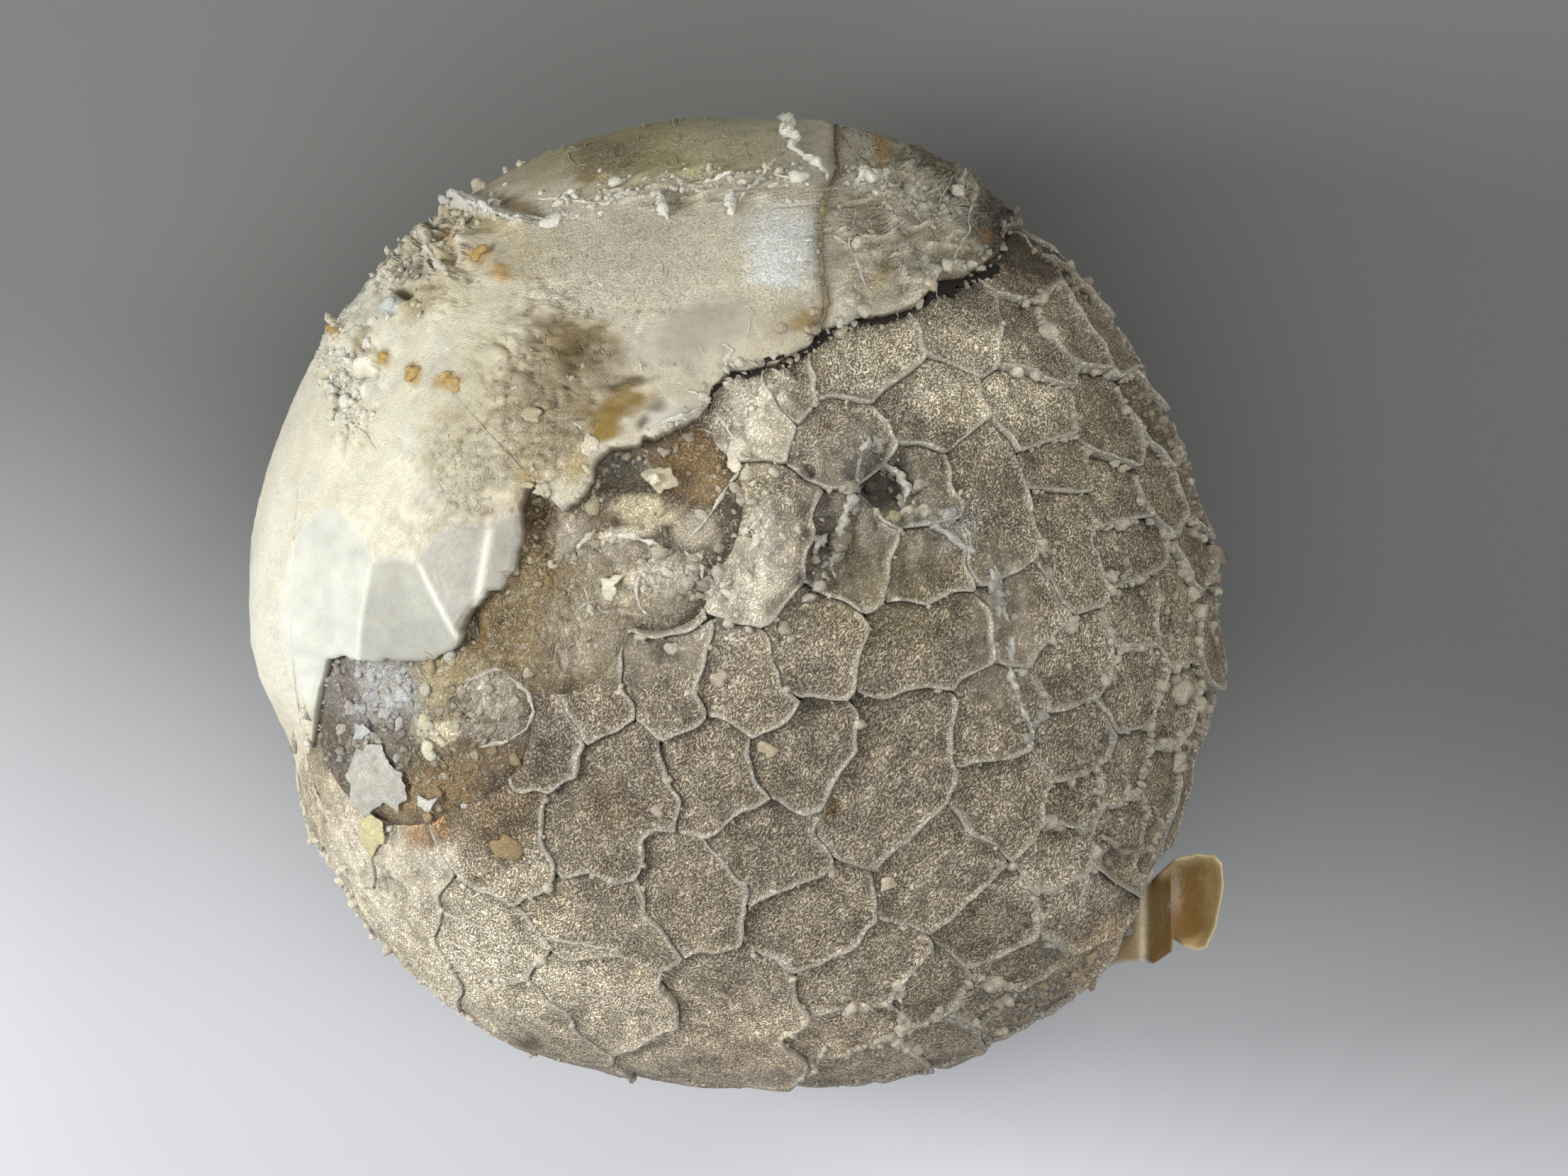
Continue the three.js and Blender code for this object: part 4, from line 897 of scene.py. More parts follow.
def shell_piece(material):
    """The pale shell: rings from its middle out to the ledge, then a wall and a hidden back.

    Ring j of n goes 1 - (1 - j / n)^1.4 of the way, measured along the stone. The rim is rounded
    off by the distance to the ledge, and the wall leans in below, so that the ledge throws a
    dark line.
    """
    outline = shell_outline()
    columns, rows = len(outline), 112
    share = even_shares(SHELL_MIDDLE, outline, 1 - (1 - np.arange(rows + 1) / rows) ** 1.4)
    place = SHELL_MIDDLE + share[..., None] * (outline - SHELL_MIDDLE)
    ball = roll_up(place)
    height = shell_height(place, smooth_point(ball))
    height -= 0.10 * (1 - ease(0, 0.16, to_line(place, outline, closed=True))) ** 2
    top = lifted(ball, height)
    inward = unit(SHELL_MIDDLE - outline)
    wall = []
    for part, leaning in ((0.25, 0.0), (0.6, 0.05), (1.0, 0.16)):
        foot = roll_up(outline + leaning * inward)
        wall.append(lifted(foot, height[-1] * (1 - part) - SHELL_FOOT * part))
    halfway = SHELL_MIDDLE + 0.5 * (outline - SHELL_MIDDLE)
    back = lifted(roll_up(halfway), np.full(columns, SHELL_BACK))
    rings = np.concatenate([top[1:], np.stack(wall), back[None]])[None]
    foot = lifted(ball[:1, 0], np.array([SHELL_BACK]))
    places = np.concatenate([place[1:], np.repeat(outline[None], 4, axis=0)])
    fresh = ease(0.0, CHIP_EDGE, chip_cuts(places).max(axis=0))
    tint = shell_tint(places, fresh, rows)
    pole_tint = painted(SHELL_MIDDLE[None], SHELL_COLOUR, SHELL_STAINS)
    gloss = np.maximum(fresh, painted_mask(places, GLOSSY))
    streak = painted_mask(places, STREAKED) * (1 - fresh)
    zero = np.zeros((1, 1))
    make_piece("shell", sewn(top[:1, 0], rings, foot), ring_faces(1, rows + 4, columns), material,
               tint=sewn(pole_tint, tint[None], pole_tint),
               gloss=sewn(zero, gloss[None, ..., None], zero)[:, 0],
               streak=sewn(zero, streak[None, ..., None], zero)[:, 0])


def there_and_back(rows):
    """Shares of the way out to a rim and back below it, and the side, 1/2 above or -1/2 below.

    Share k of n is the sine of k / n of a quarter turn.
    """
    share = np.sin(np.arange(1, rows + 1) / rows * np.pi / 2)
    share = np.concatenate([share, share[-2::-2]])
    return share, np.where(np.arange(len(share)) < rows, 0.5, -0.5)


def surface_height(place):
    """Top of the stone over the smooth one: the shell where it covers, else plates or mould."""
    point = smooth_point(roll_up(place))
    plates = -WORN_DEPTH * (1 - plate_share(place)) - bowl_depth(place)
    bare = np.maximum(mould_height(place, point), plates)
    return np.where(inside(place, LEDGE), shell_height(place, point), bare)


def skin_tint(place):
    """Colour of the skin as it shows from outside."""
    shell = painted(place, SHELL_COLOUR, SHELL_STAINS)
    mould = painted(place, MOULD_COLOUR, MOULD_STAINS)
    plates = painted(place, PLATE_COLOUR, PLATE_STAINS)
    open_skin = mould + plate_share(place)[..., None] * (plates - mould)
    return np.where(inside(place, LEDGE)[..., None], shell, open_skin)


def sheet_body(outline, lift, slope, code, seed):
    """A thin closed sheet: rings from the middle of its outline to its rim, and back below.

    Half the thickness at a share s of the way to the rim is the square root of 1 - s^4. Its
    middle surface stands `lift` over the skin in its middle, and slopes along x and y.
    """
    rows, thickness = 14, 0.16
    middle = outline.mean(axis=0)
    level = surface_height(middle[None])[0] + lift
    rim = along_line(np.concatenate([outline, outline[:1]]), 0.05)[:-1]
    rim = rim + unit(rim - middle) * (0.2 * rough(on_plane(rim), 0.34, 90 + seed))[:, None]
    start, third = rim[0] - middle, rim[len(rim) // 3] - middle
    if start[0] * third[1] < start[1] * third[0]:
        rim = rim[::-1]
    share, side = there_and_back(rows)
    place = middle + share[:, None, None] * (rim - middle)
    bulge = side * np.sqrt(np.maximum(0, 1 - share ** 4))
    ball = roll_up(place)
    height = level + (place - middle) @ slope + thickness * bulge[:, None]
    height += 0.03 * rough(smooth_point(ball), 0.5, 95 + seed)
    poles = [lifted(roll_up(middle[None]), np.array([level + half * thickness]))
             for half in (0.5, -0.5)]
    points = sewn(poles[0], lifted(ball, height)[None], poles[1])
    faces = ring_faces(1, len(share), len(rim))
    mottle = 1 + 0.16 * noise(points, 0.7, 96 + seed) + 0.12 * noise(points, 0.22, 97 + seed)
    return points, faces, linear(code) * mottle[:, None]


def ribbon_body(line, width, rise, code, seed, wander=0.04):
    """A ridge along a line of the skin: an oval section carried along it, thinning at its ends.

    The section is `width` across and stands `rise` over the skin, both varied by noise, and the
    line strays sideways by noise times `wander`.
    """
    step, sides = 0.07, 8
    path = along_line(np.asarray(line, float), step)
    at = on_plane(path)
    path = path + wander * np.stack([rough(at, 0.35, seed + k) for k in (100, 104)], -1)
    ball = roll_up(path)
    spine = lifted(ball, surface_height(path))
    normal = smooth_normal(ball)
    along = unit(np.gradient(spine, axis=0))
    across = unit(np.cross(along, normal))
    run = np.linspace(0, 1, len(path))
    swell = (1 - np.abs(2 * run - 1) ** 5) ** 0.5 * (0.9 + 0.7 * noise(spine, 0.3, 108 + seed))
    turn = 2 * np.pi * np.arange(sides) / sides
    section = (np.cos(turn)[:, None] * across[:, None] * (width / 2)
               + np.sin(turn)[:, None] * normal[:, None] * rise)
    crag = 1 + 0.75 * noise(spine[:, None] + section, 0.15, 114 + seed)[..., None]
    rings = spine[:, None] + swell[:, None, None] * section * crag
    points = sewn(spine[:1] - 0.5 * step * along[:1], rings[None],
                  spine[-1:] + 0.5 * step * along[-1:])
    return points, ring_faces(1, len(path), sides), np.broadcast_to(linear(code), points.shape)


def thread_bodies(places, headings, curls, lengths, colours, width, rise, seed):
    """Short fibres lying on the skin: arcs with a heading and a curl, as thin oval tubes.

    Along a fibre its heading grows evenly by its curl, and it thins to a tip at both ends.
    """
    points, sides = 12, 5
    run = np.linspace(0, 1, points)
    turn = headings[:, None] + curls[:, None] * run
    way = np.stack([np.cos(turn), np.sin(turn)], -1)
    step = (lengths[:, None] / (points - 1))[..., None] * way
    path = places[:, None] + np.cumsum(step, axis=1)
    path += 0.06 * np.stack([noise(on_plane(path), 0.25, seed + k) for k in (0, 1)], -1)
    ball = roll_up(path)
    spine = lifted(ball, surface_height(path) + 0.4 * rise)
    normal = smooth_normal(ball)
    along = unit(np.gradient(spine, axis=1))
    across = unit(np.cross(along, normal))
    swell = (1 - np.abs(2 * run - 1) ** 3)[:, None, None] ** 0.5 + 0.05
    angle = 2 * np.pi * np.arange(sides) / sides
    section = (np.cos(angle)[:, None] * across[..., None, :] * (width / 2)
               + np.sin(angle)[:, None] * normal[..., None, :] * rise)
    rings = spine[:, :, None] + swell * section
    tint = np.repeat(colours, points * sides + 2, axis=0)
    return sewn(spine[:, 0], rings, spine[:, -1]), ring_faces(len(places), points, sides), tint


def off_chip(places):
    """The places that don't lie on the fresh chip."""
    return places[~inside(places, LEDGE) | (chip_cuts(places).max(axis=0) <= 0)]


TURN_ON = 2.4                # about the golden angle, so that no two lumps lie alike


def blob_bodies(places, radii, rises, colours, seed, rows, columns, craggy):
    """Lumps on the skin: oval balls with two radii and a rise, roughened, half sunk in it.

    Each is turned about its normal by TURN_ON radians more than the last.
    """
    ball = roll_up(places)
    normal = smooth_normal(ball)
    centre = lifted(ball, surface_height(places))
    across, along = tangents(normal)
    spin = TURN_ON * np.arange(len(places))[:, None]
    first = np.cos(spin) * across + np.sin(spin) * along
    second = np.cross(normal, first)
    tilt = np.pi * np.arange(1, rows + 1) / (rows + 1)
    turn = 2 * np.pi * np.arange(columns) / columns
    flat = (np.cos(turn)[:, None] * (first * radii[:, :1])[:, None]
            + np.sin(turn)[:, None] * (second * radii[:, 1:])[:, None])
    up = normal * rises[:, None]
    offset = (np.sin(tilt)[:, None, None] * flat[:, None]
              + np.cos(tilt)[:, None, None] * up[:, None, None])
    own = 1.7 * np.arange(len(places))[:, None, None, None]
    size = radii.max(axis=1)[:, None, None, None]
    crag = 1 + craggy * noise(offset / size + own + seed, 0.8, 110 + seed)[..., None]
    rings = centre[:, None, None] + offset * crag
    tint = np.repeat(colours, rows * columns + 2, axis=0)
    return sewn(centre + up, rings, centre - up), ring_faces(len(places), rows, columns), tint


# ------------------------------------------------------------------ materials
SHADOW_BROWN = (0.62, 0.52, 0.38, 1.0)      # what deep grain of the plates is multiplied by
LIP_CREAM = (0.74, 0.70, 0.59, 1.0)
CRUMB_CREAM = (0.60, 0.57, 0.48, 1.0)
# Near-black brown of the sutures: grime, and painted shadow under the neighbouring lips.
SUTURE_GRIME_AND_SHADOW = (0.085, 0.062, 0.042, 1.0)
MOULD_THREAD = (0.62, 0.54, 0.40, 1.0)
MOULD_CRUMB = (0.60, 0.55, 0.44, 1.0)
SHELL_THREAD = (0.74, 0.71, 0.60, 1.0)


class Graph:
    """Adds nodes to a node tree: an input is given another node's output or a plain value."""

    def __init__(self, tree):
        self.tree = tree

    def add(self, kind, inputs=(), **settings):
        """A node with its settings, and its inputs by name or number."""
        node = self.tree.nodes.new(kind)
        for name, value in settings.items():
            setattr(node, name, value)
        for name, value in dict(inputs).items():
            socket = node.inputs[name]
            if isinstance(value, bpy.types.NodeSocket):
                self.link(value, socket)
            else:
                socket.default_value = value
        return node

    def link(self, output, socket):
        """Joins a node's output to an input."""
        self.tree.links.new(output, socket)

    def math(self, operation, first, second=0.0):
        """A sum of two numbers."""
        return self.add("ShaderNodeMath", {0: first, 1: second}, operation=operation).outputs[0]

    def span(self, value, low, high, start=0.0, end=1.0, smooth=True):
        """A value's way from `low` to `high` as a number from `start` to `end`."""
        kind = "SMOOTHSTEP" if smooth else "LINEAR"
        inputs = {"Value": value, "From Min": low, "From Max": high, "To Min": start,
                  "To Max": end}
        return self.add("ShaderNodeMapRange", inputs, interpolation_type=kind).outputs[0]

    def noise(self, vector, scale, detail, roughness):
        """Smooth noise around 0.5."""
        inputs = {"Vector": vector, "Scale": scale, "Detail": detail, "Roughness": roughness}
        return self.add("ShaderNodeTexNoise", inputs).outputs[0]

    def mix(self, share, first, second, blend="MIX"):
        """A share of the second colour over the first."""
        inputs = {0: share, 6: first, 7: second}
        return self.add("ShaderNodeMix", inputs, data_type="RGBA", blend_type=blend).outputs[2]

    def mix_number(self, share, first, second):
        """A share of the second number over the first."""
        return self.add("ShaderNodeMix", {0: share, 2: first, 3: second}).outputs[0]

    def scaled(self, colour, factor):
        """A colour or vector times a number."""
        inputs = {0: colour, "Scale": factor}
        return self.add("ShaderNodeVectorMath", inputs, operation="SCALE").outputs[0]

    def drawn_out(self, vector, turn, stretch, size):
        """A vector turned about Z and shortened on one side, so that noise on it is drawn out."""
        turned = self.add("ShaderNodeVectorRotate", {"Vector": vector, "Angle": turn},
                          rotation_type="Z_AXIS").outputs[0]
        sides = self.add("ShaderNodeCombineXYZ", {0: stretch, 1: 1.0, 2: 0.8}).outputs[0]
        drawn = self.add("ShaderNodeVectorMath", {0: turned, 1: sides}, operation="MULTIPLY")
        return self.scaled(drawn.outputs[0], size)

    def attribute(self, name, output="Fac"):
        """A layer of the piece's own mesh."""
        return self.add("ShaderNodeAttribute", attribute_name=name).outputs[output]

    def place(self):
        """Position on the piece in millimetres."""
        return self.scaled(self.add("ShaderNodeTexCoord").outputs["Object"], 1000.0)


def new_group(name, outputs, **inputs):
    """An empty node group of numbers, as (graph, its inputs, the sockets of its outputs)."""
    group = bpy.data.node_groups.new(name, "ShaderNodeTree")
    for socket, value in inputs.items():
        made = group.interface.new_socket(socket, in_out="INPUT", socket_type="NodeSocketFloat")
        made.default_value = value
    for socket in outputs:
        group.interface.new_socket(socket, in_out="OUTPUT", socket_type="NodeSocketFloat")
    graph = Graph(group)
    return graph, graph.add("NodeGroupInput").outputs, graph.add("NodeGroupOutput").inputs


def worm_grain_group():
    """Winding grains of flint: stretched noise cut in two tones, with finer sparkle on it."""
    graph, given, out = new_group("worm_grain", ("Shade", "Height"), Size=1.0, Stretch=0.45,
                                  Turn=-1.05, Dark=0.5, Light=1.5)
    place = graph.place()
    warp = graph.add("ShaderNodeTexNoise", {"Vector": place, "Scale": 1.6, "Detail": 2.0})
    warped = graph.add("ShaderNodeVectorMath", {0: place, 1: graph.scaled(warp.outputs[1], 0.5)},
                       operation="ADD").outputs[0]
    sized = graph.drawn_out(warped, given["Turn"], given["Stretch"], given["Size"])
    tone = graph.span(graph.noise(sized, 17.0, 2.0, 0.6), 0.37, 0.63)
    fine = graph.noise(place, 24.0, 2.0, 0.65)
    broad = graph.noise(place, 0.9, 3.0, 0.6)
    shade = graph.math("ADD", graph.math("MULTIPLY", tone, 0.66),
                       graph.math("MULTIPLY", fine, 0.34))
    level = graph.math("ADD", shade, graph.span(broad, 0.25, 0.75, -0.14, 0.14, smooth=False))
    spread = graph.span(level, 0.0, 1.0, given["Dark"], given["Light"], smooth=False)
    graph.link(spread, out["Shade"])
    graph.link(shade, out["Height"])
    return graph.tree


def threads_group():
    """Fine winding threads: where a stretched noise crosses its middle, broken into short ones."""
    graph, given, out = new_group("threads", ("Mask",), Size=1.0, Stretch=0.5, Width=0.07,
                                  Cover=0.5)
    sized = graph.drawn_out(graph.place(), -0.95, given["Stretch"], given["Size"])
    lines = graph.noise(sized, 5.5, 2.0, 0.6)
    off = graph.math("ABSOLUTE", graph.math("SUBTRACT", lines, 0.5))
    thin = graph.span(off, given["Width"], 0.0)
    patches = graph.math("ADD", graph.noise(sized, 3.7, 2.0, 0.6), given["Cover"])
    kept = graph.span(patches, 0.94, 1.12)
    graph.link(graph.math("MULTIPLY", thin, kept), out["Mask"])
    return graph.tree


def crumbly_group():
    """Small pale crumbs: the middles of scattered cells, as a mask and a height."""
    graph, given, out = new_group("crumbly", ("Mask", "Height"), Size=1.0, Cover=0.3)
    sized = graph.scaled(graph.place(), given["Size"])
    cells = graph.add("ShaderNodeTexVoronoi", {"Vector": sized, "Scale": 4.5, "Randomness": 1.0})
    patches = graph.noise(sized, 1.1, 3.0, 0.6)
    reach = graph.math("SUBTRACT", cells.outputs["Distance"],
                       graph.math("MULTIPLY", graph.math("SUBTRACT", patches, 0.5), 1.6))
    mask = graph.span(graph.math("SUBTRACT", reach, given["Cover"]), 0.12, -0.02)
    graph.link(mask, out["Mask"])
    graph.link(graph.math("MULTIPLY", mask, 0.6), out["Height"])
    return graph.tree


GRAIN = worm_grain_group()
THREADS = threads_group()
CRUMBLY = crumbly_group()


def grouped(graph, group, **values):
    """The outputs of a group placed in a material with its own values."""
    node = graph.add("ShaderNodeGroup", node_tree=group)
    for name, value in values.items():
        node.inputs[name].default_value = value
    return node.outputs


def flint(name, roughness, subsurface=0.0, coat=0.0):
    """A new flint material as (material, graph, its shader's inputs)."""
    material = bpy.data.materials.new(name)
    material.use_nodes = True
    inputs = material.node_tree.nodes["Principled BSDF"].inputs
    for socket, value in (("Roughness", roughness), ("Subsurface Weight", subsurface),
                          ("Subsurface Radius", (1.0, 0.85, 0.6)),
                          ("Subsurface Scale", 0.9 * MM), ("Coat Weight", coat),
                          ("Coat Roughness", 0.25), ("Specular IOR Level", 0.4)):
        inputs[socket].default_value = value
    return material, Graph(material.node_tree), inputs


def finish_flint(graph, inputs, colour, height, depth):
    """Links a flint's colour, and its bump height with its depth in millimetres."""
    graph.link(colour, inputs["Base Color"])
    relief = graph.add("ShaderNodeBump", {"Height": height, "Strength": 1.0,
                                          "Distance": depth * MM})
    graph.link(relief.outputs[0], inputs["Normal"])


def plate_material():
    """Grey-brown plates of winding grain, pale along their lips and dark in their sutures."""
    material, graph, inputs = flint("plate_flint", 0.72)
    grain = grouped(graph, GRAIN, Size=1.0, Stretch=0.5, Dark=0.19, Light=1.92)
    crumbs = grouped(graph, CRUMBLY, Size=1.6, Cover=0.0)
    tint = graph.attribute("tint", "Color")
    crust = graph.math("MULTIPLY", graph.attribute("crust"), 0.62)
    colour = graph.scaled(tint, graph.mix_number(crust, grain["Shade"], 0.98))
    deep = graph.math("MULTIPLY", graph.span(grain["Height"], 0.55, 0.15),
                      graph.math("SUBTRACT", 1.0, crust))
    warm = graph.mix(deep, colour, SHADOW_BROWN, "MULTIPLY")
    pale = graph.math("MULTIPLY", graph.attribute("lip"),
                      graph.span(grain["Height"], 0.15, 0.6, 0.5, 0.95))
    colour = graph.mix(pale, warm, graph.mix(0.78, tint, LIP_CREAM))
    colour = graph.mix(graph.math("MULTIPLY", crumbs["Mask"], 0.45), colour, CRUMB_CREAM)
    # Grime and painted shadow in the sutures.
    suture_darkening = graph.math("MULTIPLY", graph.attribute("seam"), 0.62)
    colour = graph.mix(suture_darkening, colour, SUTURE_GRIME_AND_SHADOW)
    height = graph.math("ADD", grain["Height"], crumbs["Height"])
    finish_flint(graph, inputs, colour, height, 0.10)
    return material


def mould_material():
    """The brown inner stone: pale winding threads on smooth flint where it is bare."""
    material, graph, inputs = flint("mould_flint", 0.45, subsurface=0.1, coat=0.2)
    grain = grouped(graph, GRAIN, Size=0.8, Stretch=0.7, Dark=0.55, Light=1.4)
    threads = grouped(graph, THREADS, Size=0.8, Stretch=0.85, Width=0.05, Cover=0.56)
    crumbs = grouped(graph, CRUMBLY, Size=1.3, Cover=0.0)
    colour = graph.scaled(graph.attribute("tint", "Color"), grain["Shade"])
    colour = graph.mix(graph.math("MULTIPLY", threads["Mask"], 0.6), colour, MOULD_THREAD)
    colour = graph.mix(graph.math("MULTIPLY", crumbs["Mask"], 0.5), colour, MOULD_CRUMB)
    height = graph.math("ADD", graph.math("ADD", grain["Height"], crumbs["Height"]),
                        threads["Mask"])
    finish_flint(graph, inputs, colour, height, 0.06)
    return material


def shell_material():
    """Pale translucent flint: fine pale streaks where it is grey, smooth where it is chipped."""
    material, graph, inputs = flint("shell_flint", 0.5, subsurface=0.3, coat=0.05)
    grain = grouped(graph, GRAIN, Size=1.1, Stretch=0.5, Turn=0.85, Dark=0.45, Light=1.48)
    coarse = grouped(graph, THREADS, Size=0.85, Stretch=0.45, Width=0.06, Cover=0.50)
    fine = grouped(graph, THREADS, Size=1.9, Stretch=0.4, Width=0.10, Cover=0.52)
    tint = graph.attribute("tint", "Color")
    streak = graph.math("ADD", graph.math("MULTIPLY", graph.attribute("streak"), 0.85), 0.14)
    colour = graph.scaled(tint, graph.mix_number(streak, 1.0, grain["Shade"]))
    threads = graph.math("MAXIMUM", graph.math("MULTIPLY", coarse["Mask"], 0.7),
                         graph.math("MULTIPLY", fine["Mask"], 0.5))
    shown = graph.math("MULTIPLY", threads, streak)
    colour = graph.mix(shown, colour, graph.mix(0.5, tint, SHELL_THREAD))
    gloss = graph.attribute("gloss")
    graph.link(graph.span(gloss, 0.0, 1.0, 0.56, 0.40, smooth=False), inputs["Roughness"])
    relief = graph.math("ADD", graph.math("MULTIPLY", grain["Height"], 0.6), threads)
    flatter = graph.span(gloss, 0.0, 1.0, 1.0, 0.15, smooth=False)
    finish_flint(graph, inputs, colour, graph.math("MULTIPLY", relief, flatter), 0.045)
    return material


def grained_material(name, roughness, subsurface, coat, depth, **grain):
    """A plain flint with its own tint and grain."""
    material, graph, inputs = flint(name, roughness, subsurface, coat)
    worms = grouped(graph, GRAIN, **grain)
    colour = graph.scaled(graph.attribute("tint", "Color"), worms["Shade"])
    finish_flint(graph, inputs, colour, worms["Height"], depth)
    return material


def crust_material():
    """White and cream crust of the flakes, ridges, lumps and crumbs."""
    return grained_material("crust", 0.62, 0.25, 0.0, 0.05,
                            Size=1.2, Stretch=0.8, Dark=0.72, Light=1.25)


def amber_material():
    """Amber flint of the broken flange: glossy, and nearly even."""
    return grained_material("amber_flint", 0.28, 0.45, 0.4, 0.008,
                            Size=0.5, Stretch=0.7, Dark=0.9, Light=1.1)


# ------------------------------------------------------------------ flange and small forms
FLANGE_THICKNESS = 0.42      # away from its root
FLANGE_COLOUR = "755a2f"
EDGE_CREAM = "c6b48c"
ROOT_BROWN = "9a8767"
ROOT_CREAM = "cdc2a6"
FLANGE_STAINS = [
    (17.6, -10.8, 0.5, 2.0, 0, "94794a", 0.9), (16.7, -11.2, 0.6, 1.2, 0, "7d5f30", 0.7),
    (15.4, -11.2, 0.6, 1.6, 0, "705d36", 0.8), (17.0, -12.6, 0.8, 0.4, 20, "a08a5c", 0.9)]


def flange_height(place):
    """Middle surface of the flange: it falls towards the stone and curls up past its crease.

    Its rim stands up, and its cup is a bell sunk across the outer part.
    """
    past = place[..., 0] - FLANGE_CREASE_X
    level = FLANGE_HEIGHT + np.where(past > 0, 0.42 * past, 0.75 * past)
    rim = bump(to_line(place, FLANGE_RIM[1:]), 0.22)
    cup = bump(place[..., 1] - FLANGE_MIDDLE[1], 1.3) * ease(-0.5, 0.6, past)
    return level + 0.45 * rim - 0.25 * cup


def flange_piece(material):
    """The flange as a closed sheet standing out at the waist, thicker towards its root.

    Half its thickness at a share s of the way to the rim is the square root of 1 - s^14. Its
    colour is darker left of the crease, and pale along the rim and where it leaves the stone.
    """
    rim = along_line(np.concatenate([FLANGE, FLANGE[:1]]), 0.06)[:-1][::-1]
    away = unit(rim - FLANGE_MIDDLE)
    rim = rim + away * (0.06 * rough(on_plane(rim), 0.6, 121))[:, None]
    share, side = there_and_back(34)
    place = FLANGE_MIDDLE + share[:, None, None] * (rim - FLANGE_MIDDLE)
    x = place[..., 0]
    thick = FLANGE_THICKNESS + 0.8 * ease(16.0, 14.4, x)
    bulge = (side * np.sqrt(np.maximum(0, 1 - share ** 14)))[:, None] * thick
    drop = np.where(side < 0, 0.6, 0.0)[:, None] * ease(16.2, 14.4, x)
    z = flange_height(place) + bulge - drop
    rings = np.concatenate([place, z[..., None]], -1)
    rings += 0.03 * rough(rings, 0.7, 125)[..., None]
    centre = flange_height(FLANGE_MIDDLE[None])[0]
    poles = [np.array([[*FLANGE_MIDDLE, centre + half]])
             for half in (FLANGE_THICKNESS / 2, -FLANGE_THICKNESS / 2)]
    places = rings[..., :2]
    x = places[..., 0]
    tint = painted(places, FLANGE_COLOUR, FLANGE_STAINS)
    tint *= 1 - 0.28 * (1 - ease(15.92, 16.08, x))[..., None]
    lay(tint, 0.85 * bump(to_line(places, FLANGE_RIM), 0.28), linear(EDGE_CREAM))
    lay(tint, 1 - ease(14.7, FLANGE_ROOT_X, x), linear(ROOT_BROWN))
    lay(tint, 0.9 * bump(x - FLANGE_ROOT_X, 0.16), linear(ROOT_CREAM))
    ends = painted(FLANGE_MIDDLE[None], FLANGE_COLOUR, [])
    make_piece("flange", sewn(poles[0], rings[None], poles[1]),
               ring_faces(1, len(share), len(rim)), material, tint=sewn(ends, tint[None], ends))


FLAKES = [      # outline, height over the skin in its middle, slope along x and y, colour
    ([(-3.6, 4.75), (-3.5, 4.95), (-3.0, 5.05), (-2.5, 5.0), (-2.4, 4.6), (-2.25, 4.3),
     (-2.9, 4.1), (-3.4, 4.3)], 0.22, (0.1, 0.1), "bcb297"),
    ([(-3.5, 4.5), (-3.4, 4.7), (-3.0, 4.7), (-2.8, 4.4), (-3.1, 4.2)], 0.33, (0.1, 0.1), "d8cfb4"),
    ([(-0.5, 5.5), (-0.35, 6.0), (0, 6.1), (0.05, 5.4), (0.1, 4.85), (-0.1, 4.75), (-0.4, 5.0)],
     0.20, (0.2, 0.0), "d5ccb8"),
    ([(-5.1, 0.9), (-4.6, 1), (-4.2, 0.95), (-4.45, 0.55), (-4.6, 0.1), (-4.9, 0.05)], 0.10,
     (0.1, 0.1), "d3cbb3"),
    ([(-14.3, -4.5), (-13.9, -4.4), (-13.7, -4.8), (-14, -5.1), (-14.3, -5)], 0.12, (0, 0),
     "c3c5c3"),
    ([(-14.2, -5.5), (-13.6, -5.2), (-13.1, -5.3), (-12.8, -5.9), (-12.3, -6.3), (-12.2, -7.0),
     (-12.5, -7.7), (-13.0, -7.4), (-13.4, -7.6), (-13.9, -8.0), (-14.4, -7.4), (-14.6, -6.4)],
     0.12, (0.05, 0.0), "bdbaae"),
    ([(-14.2, -8.1), (-13.6, -7.8), (-13.2, -8.1), (-13.1, -8.9), (-13.7, -9.4), (-14.1, -9.0)],
     0.12, (0.1, 0.05), "cdc293"),
    ([(-11.7, -7.0), (-11.3, -7.2), (-11.0, -7.1), (-11.3, -7.5), (-11.7, -7.4)], 0.14, (0.1, 0),
     "d3cfc5"),
    ([(-7.4, 7.0), (-7.0, 6.8), (-7.1, 6.4), (-7.5, 6.3), (-7.8, 6.6)], 0.03, (0, 0), "b5a98c"),
    ([(-5.4, 6.1), (-5.0, 5.8), (-4.9, 5.4), (-5.3, 5.2), (-5.6, 5.6)], 0.03, (0, 0), "cdc3ac")]

